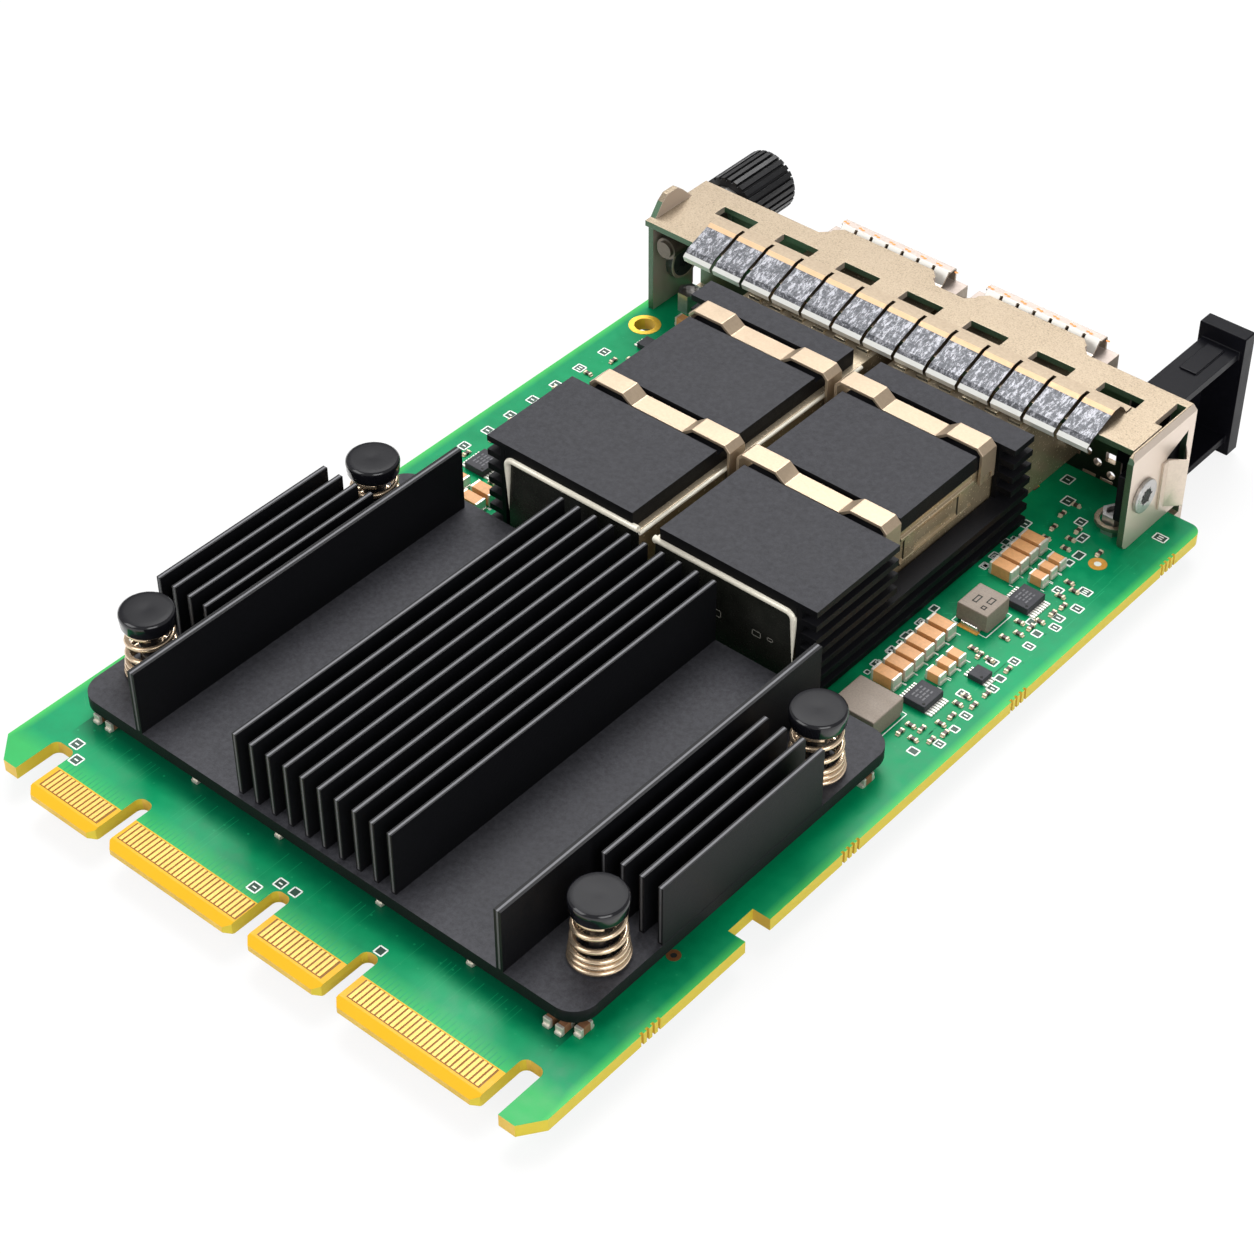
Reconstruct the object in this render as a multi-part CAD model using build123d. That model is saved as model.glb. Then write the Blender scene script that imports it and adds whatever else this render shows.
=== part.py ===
from build123d import *
import math
import os

# Mezzanine network card, sizes in millimetres.
# The parts are drawn with x across the card, y toward the gold fingers (zero at
# their front) and z up from the top of the board, and moved to the shared frame
# at the end.  Names that end in share or shares are fractions of a length.

# Circuit board
board_width = 76.0
board_length = 112.4
board_thick = 1.57
board_corner = 1.5
far_horn_front = 1.3
far_horn_chamfer_run = 2.6
far_horn_chamfer_fall = 2.8
near_horn_front = 0.2
near_horn_chamfer_run = 1.8
near_horn_chamfer_fall = 2.5
slot_depth = 6.8
slot_corner = 0.85
slot_corner_share = 0.45
tab_corner = 0.7
tab_bevel_run = 1.0
tab_bevel_fall = 0.4
slot_edge_shares = (
    (0.8816, 0.8026), (0.5447, 0.4895), (0.0289, -0.0289), (-0.2921, -0.3447), (-0.8289, -0.8990),
)
edge_notch_start = 31.0
edge_notch_end = 34.8
edge_notch_depth = 2.15
rib_pitch = 0.8
rib_width = 0.35
rib_depth = 0.3
rib_count = 4
rib_group_shares = (0.1530, 0.4257, 0.6828, 0.9381)
plated_hole_inset = 3.2
plated_hole_setback = 10.6
plated_hole_radius = 1.3
plated_ring_radius = 2.0
plating = 0.05

# Edge contacts
contact_pitch = 0.6
contact_width = 0.38
contact_front = 1.4
contact_length = 2.6
contact_group_counts = (14, 28, 14, 28)
contact_group_shares = (0.6724, 0.2553, -0.1605, -0.5868)

# Main heat sink
sink_width = 68.8
sink_front = 10.8
sink_length_share = 0.43416
sink_corner = 2.8
sink_bottom = 2.0
sink_plate = 1.55
sink_top = 11.6
wall_inset = 9.6
wall_thick = 0.9
wall_setback = 0.9
fin_thick = 0.6
centre_fin_pitch = 2.335
centre_fin_count = 10
centre_fin_setback = 0.6
outer_fin_inset = 0.352
outer_fin_pitch = 2.316
outer_fin_count = 4
outer_fin_front_gap = 4.6999
outer_fin_rear_gap = 3.7999
outer_fin_top = 11.1

# Chip and thermal pad below the main heat sink
chip_substrate_side = 23.0
chip_substrate_thick = 0.9
chip_lid_side = 19.0
chip_lid_thick = 0.6
chip_share = 0.4959

# Push pins and springs
pin_edge_inset = 3.8
pin_front_inset = 7.5
pin_rear_inset = 8.4
pin_cap_radius = 3.0
pin_cap_round = 0.45
pin_cap_thick = 1.9
pin_cap_top = 11.9
pin_shank_radius = 1.3
pin_hole_radius = 1.6
pin_barb_radius = 2.0
pin_barb_lead = 0.35
pin_tip_radius = 0.9
pin_slit = 0.5
pin_side_count = 16
spring_base_radius = 2.9
spring_top_radius = 2.3
spring_wire_radius = 0.27
spring_turn_count = 5
spring_bend_count = 8

# Cages for the two modules
cage_width_share = 0.24868
cage_gap = 2.2
cage_middle = 0.4
cage_from_sink = 2.05
cage_reach = 8.2
cage_height = 10.5
cage_wall = 0.4
cage_window_inset = 3.2
cage_window_rear_setback = 4.35
cage_window_front_setback = 2.1
cage_floor_setback = 16.35
cage_pin_width = 0.8
cage_pin_thick = 0.4
cage_pin_length = 2.6
cage_pin_play = 0.15
cage_pin_shares = (0.0600, 0.2870, 0.5150, 0.7600)
latch_height = 8.2
latch_rise = 1.1
latch_width = 1.4
latch_out = 0.45
ledge_out = 0.35
ledge_top = 9.6
ledge_thick = 0.45
rail_top = 6.3
rail_play = 0.3
tongue_width = 1.9
tongue_share = 0.13
tongue_thick = 0.25
roof_tab_length = 1.9
roof_tab_width = 1.7
roof_tab_count = 6
roof_tab_rise = 0.35
roof_tab_lead = 2.6

# Connector at the rear inside each cage
connector_side = 1.95
connector_length = 11.0
connector_height = 6.8
connector_play = 0.3
connector_slot_side = 1.7
connector_slot_height = 1.5
connector_slot_depth = 4.0
connector_slot_floor = 3.0

# Collar of spring fingers round the mouth of each cage
collar_setback = 4.3
collar_lead = 0.3
collar_sleeve = 0.3
collar_bulge_top = 2.1
collar_bulge_side = 0.55
collar_sheet = 0.25
collar_finger_count = 7
collar_side_finger_count = 4
collar_finger_gap = 0.35
collar_top_side = 1.45
collar_rise_from_end = 1.35
collar_side_height = 8.6
collar_ridge_from_end = 1.3
collar_slope_from_end = 2.5

# Stepped heat sinks on the cages
cage_sink_rise = 2.1
cage_sink_base = 1.4
cage_sink_inset = 0.8
cage_sink_overhang = 2.8
cage_sink_middle_overhang = 0.2
cage_sink_front_setback = 20.5
cage_sink_rear_lead = 0.15
groove_first_share = 0.4106
groove_second_share = 0.8601
groove_width = 3.5
step_foot = 0.4
step_thick = 0.8
step_count = 7
shelf_step_count = 4
step_spine = 0.6
step_clearance = 0.25
pedestal_depth = 1.1
pedestal_play = 0.4

# Strap clips
clip_width = 2.65
clip_sheet = 0.4
clip_rise = 0.7
clip_leg_play = 0.25
clip_inner_leg = 4.6
clip_outer_leg = 4.4
clip_bend = 0.5
clip_inner_raised_share = 0.243
clip_inner_low_share = 0.312
clip_outer_low_share = 0.709
clip_outer_raised_share = 0.783
clip_hole_play = 0.15

# Bracket
sheet = 0.8
bracket_near_inset = 4.7
bracket_far_inset = 1.1
bracket_rise = 2.5
bracket_reach = 3.4
flange_setback = 8.1
lip_reach = 2.4
lip_inset = 1.9
lip_corner = 1.0
bracket_opening_play = 0.2
flange_slot_count = 7
flange_slot_pitch_share = 0.1295
flange_slot_shift = 0.2
flange_slot_setback = 0.6
flange_slot_length = 5.2
flange_slot_width = 1.9
near_flange_setback = 9.4
near_flange_corner = 0.9
near_seam = 0.14
near_seam_wide = 1.15
near_seam_wide_rear = 2.4
near_seam_front = 1.2
far_flange_setback = 7.5
far_flange_lead = 0.2
arch_rise = 2.4
arch_setback = 3.9
arch_shoulder_rise = 1.7
arch_shoulder = 1.9
arch_foot_fall = 0.5
underside_depth = 2.4
foot_width = 7.6
foot_setback = 9.0
vent_width = 1.1
vent_height = 5.2
vent_floor = 3.6
far_vent_shares = (0.202, 0.404, 0.606, 0.807)
round_vent_radius = 0.55
round_vent_height = 0.9
round_vent_fall = 1.0
round_vent_shares = (0.20, 0.45, 0.78)
square_vent_side = 1.3
square_vent_floor = 0.6
square_vent_share = 0.73
slot_vent_height = 0.4
slot_vent_drop = 2.3
slot_vent_shares = ((0.14, 0.44), (0.55, 0.84))
near_bend = 0.6
side_window_setback = 2.0
side_window_lead = 2.0
side_window_floor = 1.9
side_window_top = 8.9
side_notch_top = 10.4

# Bracket screws and the nuts soldered on the board
nut_radius = 1.5
nut_side_count = 6
nut_height = 2.6
bracket_screw_radius = 0.95
bracket_screw_hole = 1.1
bracket_screw_head_radius = 1.9
bracket_screw_head = 1.2
bracket_screw_length = 5.6
driver_radius = 0.6
driver_depth = 0.6
far_nut_inset = 3.1
far_nut_setback = 4.3
near_nut_inset = 2.2
near_nut_setback = 6.6
hardware_side_count = 16
hole_side_count = 12
cradle_radius = 2.2
cradle_floor = 1.2
cradle_thick = 0.5
cradle_play = 0.12

# Contact spring strip on the top flange
strip_near_inset = 10.0
strip_far_inset = 8.5
strip_sheet = 0.2
strip_root_front_in = 6.3
strip_root_rear_in = 5.2
strip_ridge_in = 4.1
strip_ridge_rear_in = 3.0
strip_ridge_rise = 1.4
strip_shoulder_in = 4.75
strip_shoulder_rise = 0.85
strip_brow_in = 2.3
strip_brow_rise = 1.1
strip_fall_out = 1.0
strip_fall_drop = 0.25
strip_lip_out = 1.8
strip_lip_drop = 0.9
strip_curl_out = 1.6
strip_curl_drop = 1.5
strip_finger_count = 13
strip_finger_gap = 0.4

# Side spring and boss
side_spring_sheet = 0.3
side_spring_out = 1.9
side_spring_setback = 2.9
side_spring_peak_setback = 0.4
side_spring_lead = 1.9
side_spring_inset = 0.25
boss_setback = 2.6
boss_height = 5.4
boss_radius = 2.6
boss_thick = 1.0
boss_shank_radius = 1.3
boss_recess_radius = 1.1
boss_recess_depth = 0.6

# Thumbscrew
thumb_inset = 3.8
thumb_drop = 3.3
knob_radius = 4.0
knob_root_radius = 3.62
knob_length = 8.6
knob_flute_count = 26
knob_crest_share = 0.30
knob_root_share = 0.26
knob_chamfer = 0.45
knob_bore_depth = 5.0
knob_bore_play = 0.02
knob_gap = 0.06
ferrule_outer_radius = 2.9
ferrule_shank_radius = 2.1
ferrule_flange = 1.0
shaft_radius = 1.4
shaft_play = 0.05
shaft_inside = 11.2
shaft_tip_chamfer = 0.4
ring_inside = 3.4
ring_radius = 1.7
ring_thick = 0.5
ring_play = 0.05
ring_groove_radius = 1.05

# Pull tab
tab_near_inset = 7.6
tab_far_inset = 12.6
tab_floor = 1.7
tab_top = 11.2
tab_plate_near_inset = 7.0
tab_plate_far_inset = 13.1
tab_plate_floor = 3.4
tab_plate_top = 13.2
tab_plate_reach = 13.7
tab_reach = 15.7
tab_wall = 1.0
tab_hole_play = 0.15
tab_recess_reach = 1.8
arm_thick = 1.5
arm_floor = 2.7
arm_top = 9.0
arm_setback = 8.2
arm_block = 1.6
tab_ridge = 0.25
tab_ridge_width = 2.2
tab_ridge_length = 6.0
tab_screw_setback = 6.4
tab_screw_height = 6.4
tab_screw_head_radius = 2.1
tab_screw_head = 0.5
tab_screw_radius = 1.2
tab_screw_hole = 1.35
tab_screw_length = 2.2
tab_screw_recess = 1.0
tab_screw_recess_depth = 0.3

# Inductors
small_inductor_x_size = 3.9
small_inductor_y_size = 4.2
small_inductor_height = 2.6
large_inductor_x_size = 5.6
large_inductor_y_size = 5.2
large_inductor_height = 2.4
inductor_foot = 0.35
inductor_terminal = 1.2
small_inductor_share = (
    (-0.3526, 0.4640),
)
large_inductor_share = (
    (-0.3397, 0.0777),
)

# Capacitors and chips; places beside the cages are shares of the strip between the
# cage heat sink and the edge of the board, and of the length behind the main heat sink
large_cap_x = 3.0
large_cap_y = 1.55
large_cap_height = 1.6
large_cap_shares = (
    (-0.1859, 0.7159),
    (-0.1923, 0.6784),
    (-0.1987, 0.6409),
    (-0.2051, 0.6034),
    (-0.2244, 0.3731),
    (-0.2244, 0.3343),
    (-0.2308, 0.2955),
    (-0.2372, 0.2576),
    (-0.2436, 0.2197),
    (-0.2436, 0.1809),
    (0.5236, 0.0871),
    (0.2432, 0.0909),
    (0.2432, 0.0511),
)
small_cap_x = 1.9
small_cap_y = 1.25
small_cap_height = 1.25
small_cap_shares = (
    (-0.4263, 0.6989),
    (-0.4295, 0.6648),
    (-0.4359, 0.6297),
    (-0.4744, 0.3220),
    (-0.4744, 0.2879),
    (-0.4808, 0.2519),
    (0.5270, 0.8542),
)
regulator_x = 2.8
regulator_y = 3.4
regulator_height = 1.0
regulator_shares = (
    (-0.4936, 0.5587),
    (-0.5385, 0.1856),
    (0.5135, 0.1705),
)
small_chip_side = 1.9
small_chip_height = 0.8
small_chip_shares = (
    (-0.6987, 0.3125),
    (0.5608, 0.7367),
)
passive_long = 1.0
passive_short = 0.5
passive_height = 0.35
passive_shares = (
    (-0.2051, 0.7576, 0),
    (-0.3782, 0.7557, 0),
    (-0.3462, 0.7879, 0),
    (-0.1410, 0.8466, 1),
    (-0.1795, 0.7973, 1),
    (-0.1603, 0.8902, 0),
    (-0.6090, 0.6686, 0),
    (-0.6859, 0.6534, 0),
    (-0.6410, 0.6212, 0),
    (-0.7179, 0.5985, 1),
    (-0.7051, 0.5663, 1),
    (-0.6859, 0.5284, 0),
    (-0.5833, 0.5000, 0),
    (-0.6474, 0.4697, 0),
    (-0.6731, 0.5019, 1),
    (-0.5962, 0.4413, 0),
    (-0.5000, 0.3731, 0),
    (-0.5705, 0.3655, 1),
    (-0.6474, 0.3674, 0),
    (-0.8013, 0.3674, 1),
    (-0.7436, 0.2481, 0),
    (-0.7436, 0.2197, 0),
    (-0.8333, 0.2367, 1),
    (-0.8333, 0.2803, 1),
    (-0.7821, 0.1837, 1),
    (-0.7692, 0.1515, 0),
    (-0.8462, 0.1345, 1),
    (-0.6282, 0.1098, 0),
    (-0.7179, 0.0814, 0),
    (-0.7051, 0.1155, 1),
    (-0.8141, 0.1023, 1),
    (-0.6122, 0.0814, 1),
    (0.6892, 0.5701, 0),
    (0.6486, 0.6439, 1),
    (0.5473, 0.6723, 0),
    (0.7230, 0.1780, 1),
    (0.6554, 0.1269, 0),
    (0.6892, 0.2538, 1),
    (0.5405, 0.2519, 0),
    (0.7297, 0.3295, 0),
    (0.6757, 0.4053, 1),
    (0.7432, 0.4811, 0),
    (0.3176, 0.1383, 0),
    (-0.3333, 0.8220, 1),
    (-0.5897, 0.7879, 1),
)
under_cap_x = 0.9
under_cap_y = 1.7
under_cap_height = 1.1
under_cap_shares = (
    (-0.8053, 0.1946),
    (-0.8447, 0.1946),
    (-0.8842, 0.2114),
    (0.8000, 0.2013),
    (0.8474, 0.2013),
    (-0.8842, 0.9362),
    (0.8737, 0.9362),
    (-0.5263, 0.2114),
    (-0.2105, 0.2114),
    (0.1579, 0.2114),
    (0.4737, 0.2114),
)
bottom_cap_shares = (
    (-0.3684, 0.2135),
    (-0.2368, 0.2135),
    (-0.1053, 0.2135),
    (0.0263, 0.2135),
    (0.1579, 0.2135),
    (0.2895, 0.2135),
    (-0.3684, 0.4093),
    (-0.2368, 0.4093),
    (-0.1053, 0.4093),
    (0.0263, 0.4093),
    (0.1579, 0.4093),
    (0.2895, 0.4093),
    (-0.6842, 0.6673),
    (-0.6842, 0.7028),
    (-0.6842, 0.8185),
    (-0.6842, 0.8541),
)

# Worked out from the sizes above
half_board = board_width / 2
board_bottom = -board_thick
sink_length = sink_length_share * board_length
sink_end = sink_front + sink_length
wall_length = sink_length - wall_setback
centre_fin_length = sink_length - centre_fin_setback
chip_from_front = sink_front + chip_share * sink_length
pin_front = sink_front + pin_front_inset
pin_rear = sink_end - pin_rear_inset
half_sink = sink_width / 2
wall_offset = half_sink - wall_inset
outer_fin_first = half_sink - outer_fin_inset - (outer_fin_count - 1) * outer_fin_pitch
outer_fin_front = pin_front + outer_fin_front_gap
outer_fin_length = pin_rear - outer_fin_rear_gap - outer_fin_front
pin_offset = half_sink - pin_edge_inset
cage_sink_floor = cage_height + cage_sink_base
cage_sink_top = cage_height + cage_sink_rise
step_pitch = (cage_sink_top - step_thick - step_foot) / (step_count - 1)
clip_raised_top = cage_sink_top + clip_rise
bracket_top = cage_height + bracket_rise
thumb_z = bracket_top - thumb_drop
cage_width = cage_width_share * board_width
connector_width = cage_width - 2 * connector_side
connector_slot_width = connector_width - 2 * connector_slot_side
collar_top_width = cage_width - 2 * collar_top_side
cage_rear = sink_end + cage_from_sink
cage_front = board_length + cage_reach
cage_sink_rear = cage_rear - cage_sink_rear_lead
cage_sink_front = cage_front - cage_sink_front_setback
groove_first = cage_sink_rear + groove_first_share * (cage_sink_front - cage_sink_rear)
groove_second = cage_sink_rear + groove_second_share * (cage_sink_front - cage_sink_rear)
cage_window_rear = cage_rear + cage_window_rear_setback
cage_window_front = cage_sink_front - cage_window_front_setback
cage_floor_start = cage_rear + cage_floor_setback
collar_start = cage_front - collar_setback
collar_end = cage_front + collar_lead
bracket_near = half_board - bracket_near_inset
bracket_far = half_board - bracket_far_inset
bracket_face = board_length + bracket_reach
flange_rear = board_length - flange_setback
lip_end = bracket_face + lip_reach
flange_slot_from_front = board_length - flange_slot_setback
near_flange_rear = board_length - near_flange_setback
far_flange_rear = board_length - far_flange_setback
far_flange_front = board_length + far_flange_lead
arch_peak_from_front = board_length - arch_setback
foot_rear = board_length - foot_setback
side_window_rear = board_length - side_window_setback
side_window_front = board_length + side_window_lead
side_spring_root = board_length - side_spring_setback
side_spring_peak = board_length - side_spring_peak_setback
side_spring_end = board_length + side_spring_lead
boss_from_front = board_length - boss_setback
thumb_x = half_board - thumb_inset
shaft_tip = bracket_face - shaft_inside
tab_near = half_board - tab_near_inset
tab_far = half_board - tab_far_inset
tab_plate_near = half_board - tab_plate_near_inset
tab_plate_far = half_board - tab_plate_far_inset
tab_plate_start = bracket_face + tab_plate_reach
tab_end = bracket_face + tab_reach
tab_recess_start = bracket_face + tab_recess_reach
arm_rear = board_length - arm_setback
tab_screw_from_front = board_length - tab_screw_setback
plated_hole_x = half_board - plated_hole_inset
plated_hole_from_front = board_length - plated_hole_setback
strip_near = half_board - strip_near_inset
strip_far = half_board - strip_far_inset
lowest = board_bottom - underside_depth
plate_top = sink_bottom + sink_plate
chip_top = chip_substrate_thick + chip_lid_thick
cap_bottom = pin_cap_top - pin_cap_thick
near_inner = bracket_near - sheet
far_inner = bracket_far - sheet
face_inner = bracket_face - sheet
ring_from_front = face_inner - ring_inside
flange_bottom = bracket_top - sheet
right_edge = thumb_x + knob_radius
middle_x = (max(right_edge, half_board) - half_board) / 2
lift = -lowest


def span(x_from, x_to, y_from, y_to, z_from, z_to):
    """Box between two values on each axis."""
    middle = ((x_from + x_to) / 2, (y_from + y_to) / 2, (z_from + z_to) / 2)
    return Pos(*middle) * Box(abs(x_to - x_from), abs(y_to - y_from), abs(z_to - z_from))


def rod(radius, from_point, to_point):
    """Round bar between two points."""
    start = Vector(*from_point)
    way = Vector(*to_point) - start
    foot = Plane(origin=start, z_dir=way.normalized())
    return extrude(foot * Circle(radius), way.length)


def turned(points, sides):
    """Faceted turned solid from radius and height pairs, first and last on the axis."""
    rings = []
    for radius, z in points[1:-1]:
        ring = []
        for i in range(sides):
            a = 2 * math.pi * i / sides
            ring.append((radius * math.cos(a), radius * math.sin(a), z))
        rings.append(ring)
    outlines = [rings[0][::-1], rings[-1]]
    for low, high in zip(rings, rings[1:]):
        for i in range(sides):
            j = (i + 1) % sides
            outlines.append((low[i], low[j], high[j], high[i]))
    faces = [Face(Wire(Polyline(*outline, close=True).edges())) for outline in outlines]
    return Solid(Shell(faces))


def bar(radius, sides, from_point, to_point):
    """Straight bar with a regular outline between two points."""
    start = Vector(*from_point)
    way = Vector(*to_point) - start
    foot = Plane(origin=start, z_dir=way.normalized())
    return extrude(foot * RegularPolygon(radius, sides), way.length)


def ribbon(points, thick):
    """Outline of a folded sheet: the points and their copy set off to the left."""
    normals = []
    for a, b in zip(points, points[1:]):
        length = math.hypot(b[0] - a[0], b[1] - a[1])
        normals.append((-(b[1] - a[1]) / length, (b[0] - a[0]) / length))
    other = []
    for i, point in enumerate(points):
        before = normals[max(i - 1, 0)]
        after = normals[min(i, len(normals) - 1)]
        total = (before[0] + after[0], before[1] + after[1])
        scale = 2 * thick / (total[0] ** 2 + total[1] ** 2)
        other.append((point[0] + total[0] * scale, point[1] + total[1] * scale))
    return list(points) + other[::-1]


def prism_x(points, x_from, x_to):
    """Solid with a y and z outline between two x values."""
    ring = [(x_from, y, z) for y, z in points]
    face = Face(Wire(Polyline(*ring, close=True).edges()))
    return Solid.extrude(face, Vector(x_to - x_from, 0, 0))


def prism_y(points, y_from, y_to):
    """Solid with an x and z outline between two y values."""
    ring = [(x, y_from, z) for x, z in points]
    face = Face(Wire(Polyline(*ring, close=True).edges()))
    return Solid.extrude(face, Vector(0, y_to - y_from, 0))


def prism_z(points, z_from, z_to):
    """Solid with an x and y outline between two z values."""
    ring = [(x, y, z_from) for x, y in points]
    face = Face(Wire(Polyline(*ring, close=True).edges()))
    return Solid.extrude(face, Vector(0, 0, z_to - z_from))


def place(share):
    """Point beside the cages: shares of the free strip's width and of the rear length."""
    side = 1 if share[0] > 0 else -1
    start = cage_edges(side)[1] + side * cage_sink_overhang
    x = start + share[0] * (half_board - abs(start))
    return x, -sink_end - share[1] * (board_length - sink_end)


def place_below(share):
    """Point on the whole board, from shares of half its width and of its length."""
    return share[0] * half_board, -share[1] * board_length


def place_under_sink(share):
    """Point below the main heat sink, from shares of half the board and of the sink's end."""
    return share[0] * half_board, -share[1] * sink_end


def nut_places():
    """Centres of the far and the near bracket nut."""
    return [
        (far_inner - far_nut_inset, far_nut_setback - board_length),
        (near_nut_inset - near_inner, near_nut_setback - board_length),
    ]


def pin_places():
    """Centres of the four push pins."""
    spots = []
    for x in (-pin_offset, pin_offset):
        for y in (-pin_front, -pin_rear):
            spots.append((x, y))
    return spots


def cage_edges(side):
    """Inner and outer x of a cage; side is 1 for the far one and -1 for the near one."""
    inner = cage_middle + side * cage_gap / 2
    return inner, inner + side * cage_width


def cage_pin_boxes(play):
    """Pins below the cage walls, or the slots for them when there is play."""
    boxes = []
    half = cage_pin_width / 2 + play
    for side in (-1, 1):
        inner, outer = cage_edges(side)
        for wall, turn in ((inner, side), (outer, -side)):
            for share in cage_pin_shares:
                y = -cage_rear - share * (cage_front - cage_rear)
                x_from = wall - turn * play
                x_to = wall + turn * (cage_pin_thick + play)
                boxes.append((side, span(x_from, x_to, y - half, y + half, 0, -cage_pin_length)))
    return boxes


def board_outline():
    """Corner points of the board, from the far back corner round the front."""
    points = [(half_board, -board_length)]
    points.append((half_board, -far_horn_front - far_horn_chamfer_fall))
    points.append((half_board - far_horn_chamfer_run, -far_horn_front))
    last = len(slot_edge_shares) - 1
    for i, (high_share, low_share) in enumerate(slot_edge_shares):
        high = high_share * half_board
        low = low_share * half_board
        before = -far_horn_front if i == 0 else 0
        after = -near_horn_front if i == last else 0
        points.append((high, before))
        points.append((high, -slot_depth))
        points.append((low, -slot_depth))
        points.append((low, after))
    points.append((-half_board + near_horn_chamfer_run, -near_horn_front))
    points.append((-half_board, -near_horn_front - near_horn_chamfer_fall))
    points.append((-half_board, -edge_notch_start))
    points.append((-half_board + edge_notch_depth, -edge_notch_start))
    points.append((-half_board + edge_notch_depth, -edge_notch_end))
    points.append((-half_board, -edge_notch_end))
    points.append((-half_board, -board_length))
    return points


def circuit_board():
    """Board with tabs, horns, notch, ribs and holes."""
    flat = prism_z(board_outline(), board_bottom, 0)
    upright = flat.edges().filter_by(Axis.Z)
    back = [e for e in upright if e.center().Y < -board_length + board_corner]
    flat = flat.fillet(board_corner, back)
    upright = flat.edges().filter_by(Axis.Z)
    fronts = [e for e in upright if e.center().Y > -near_horn_front / 2]
    flat = flat.chamfer(tab_corner, None, fronts)
    upright = flat.edges().filter_by(Axis.Z)
    deep = [e for e in upright if abs(e.center().Y + slot_depth) < tab_bevel_fall]
    narrowest = min(high - low for high, low in slot_edge_shares) * half_board
    flat = flat.fillet(min(slot_corner, narrowest * slot_corner_share), deep)
    cuts = []
    bevel_far = slot_edge_shares[0][1] * half_board
    bevel_near = slot_edge_shares[-1][0] * half_board
    upper = ((0, -tab_bevel_fall), (-tab_bevel_run, 0), (tab_bevel_run, 0), (tab_bevel_run, -tab_bevel_fall))
    lower = [(y, board_bottom - z) for y, z in upper]
    cuts.append(prism_x(upper, bevel_near, bevel_far))
    cuts.append(prism_x(lower, bevel_near, bevel_far))
    for share in rib_group_shares:
        for i in range(rib_count):
            y = -share * board_length + (i - (rib_count - 1) / 2) * rib_pitch
            edge = -half_board
            cuts.append(span(
                edge - rib_depth, edge + rib_depth, y, y + rib_width, board_bottom * 2, board_thick
            ))
    x, y = plated_hole_x, -plated_hole_from_front
    cuts.append(rod(plated_hole_radius, (x, y, board_bottom * 2), (x, y, board_thick)))
    for x, y in pin_places():
        cuts.append(upright_bar(pin_hole_radius, x, y))
    for x, y in nut_places():
        cuts.append(upright_bar(bracket_screw_hole, x, y))
    for _, box in cage_pin_boxes(cage_pin_play):
        cuts.append(box)
    return flat - cuts


def upright_bar(radius, x, y):
    """Cutter through the board."""
    return bar(radius, hole_side_count, (x, y, board_bottom * 2), (x, y, board_thick))


def edge_contacts(z_from, z_to):
    """All contact strips of one side of the board."""
    strips = []
    for count, share in zip(contact_group_counts, contact_group_shares):
        for i in range(count):
            x = share * half_board + (i - (count - 1) / 2) * contact_pitch
            half = contact_width / 2
            rear = -contact_front - contact_length
            strips.append(span(x - half, x + half, rear, -contact_front, z_from, z_to))
    return strips


def hole_ring():
    """Plated ring round the hole by the bracket."""
    x, y = plated_hole_x, -plated_hole_from_front
    ring = rod(plated_ring_radius, (x, y, 0), (x, y, plating))
    return ring - rod(plated_hole_radius, (x, y, -plating), (x, y, plating * 2))


def main_heat_sink():
    """Plate, walls and fins in one piece, with holes for the push pins."""
    middle_y = -sink_front - sink_length / 2
    plate = extrude(RectangleRounded(sink_width, sink_length, sink_corner), sink_plate)
    plate = Pos(0, middle_y, sink_bottom) * plate
    parts = []
    rear = -sink_front - sink_length
    half_wall = wall_thick / 2
    for side in (-1, 1):
        x = side * wall_offset
        parts.append(span(
            x - half_wall, x + half_wall, -sink_front - wall_length, -sink_front, sink_bottom, sink_top
        ))
    half = fin_thick / 2
    for i in range(centre_fin_count):
        x = (i - (centre_fin_count - 1) / 2) * centre_fin_pitch
        parts.append(span(x - half, x + half, rear, rear + centre_fin_length, sink_bottom, sink_top))
    for side in (-1, 1):
        for i in range(outer_fin_count):
            x = side * (outer_fin_first + i * outer_fin_pitch)
            front = -outer_fin_front
            parts.append(span(
                x - half, x + half, front - outer_fin_length, front, sink_bottom, outer_fin_top
            ))
    top = plate_top + sink_plate
    holes = [bar(pin_hole_radius, hole_side_count, (x, y, 0), (x, y, top)) for x, y in pin_places()]
    return plate.fuse(*parts) - holes


def controller_chip():
    """Substrate and lid of the main chip."""
    x = chip_substrate_side / 2
    lid = chip_lid_side / 2
    y = -chip_from_front
    substrate = span(-x, x, y - x, y + x, 0, chip_substrate_thick)
    return substrate + span(-lid, lid, y - lid, y + lid, chip_substrate_thick, chip_top)


def thermal_pad():
    """Soft pad from the lid of the chip to the heat sink plate."""
    side = chip_lid_side / 2
    y = -chip_from_front
    return span(-side, side, y - side, y + side, chip_top, sink_bottom)


def push_pin(x, y):
    """Cap, shank and slit barb of one push pin."""
    top = pin_cap_top
    points = [
        (0, lowest),
        (pin_tip_radius, lowest),
        (pin_barb_radius, board_bottom - pin_barb_lead),
        (pin_shank_radius, board_bottom),
        (pin_shank_radius, cap_bottom),
        (pin_cap_radius, cap_bottom),
        (pin_cap_radius, top - pin_cap_round),
        (pin_cap_radius - pin_cap_round, top),
        (0, top),
    ]
    pin = turned(points, pin_side_count)
    slit = pin_slit / 2
    wide = pin_barb_radius * 2
    pin = pin - span(-slit, slit, -wide, wide, lowest * 2, board_bottom / 2)
    return Pos(x, y, 0) * pin


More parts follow.
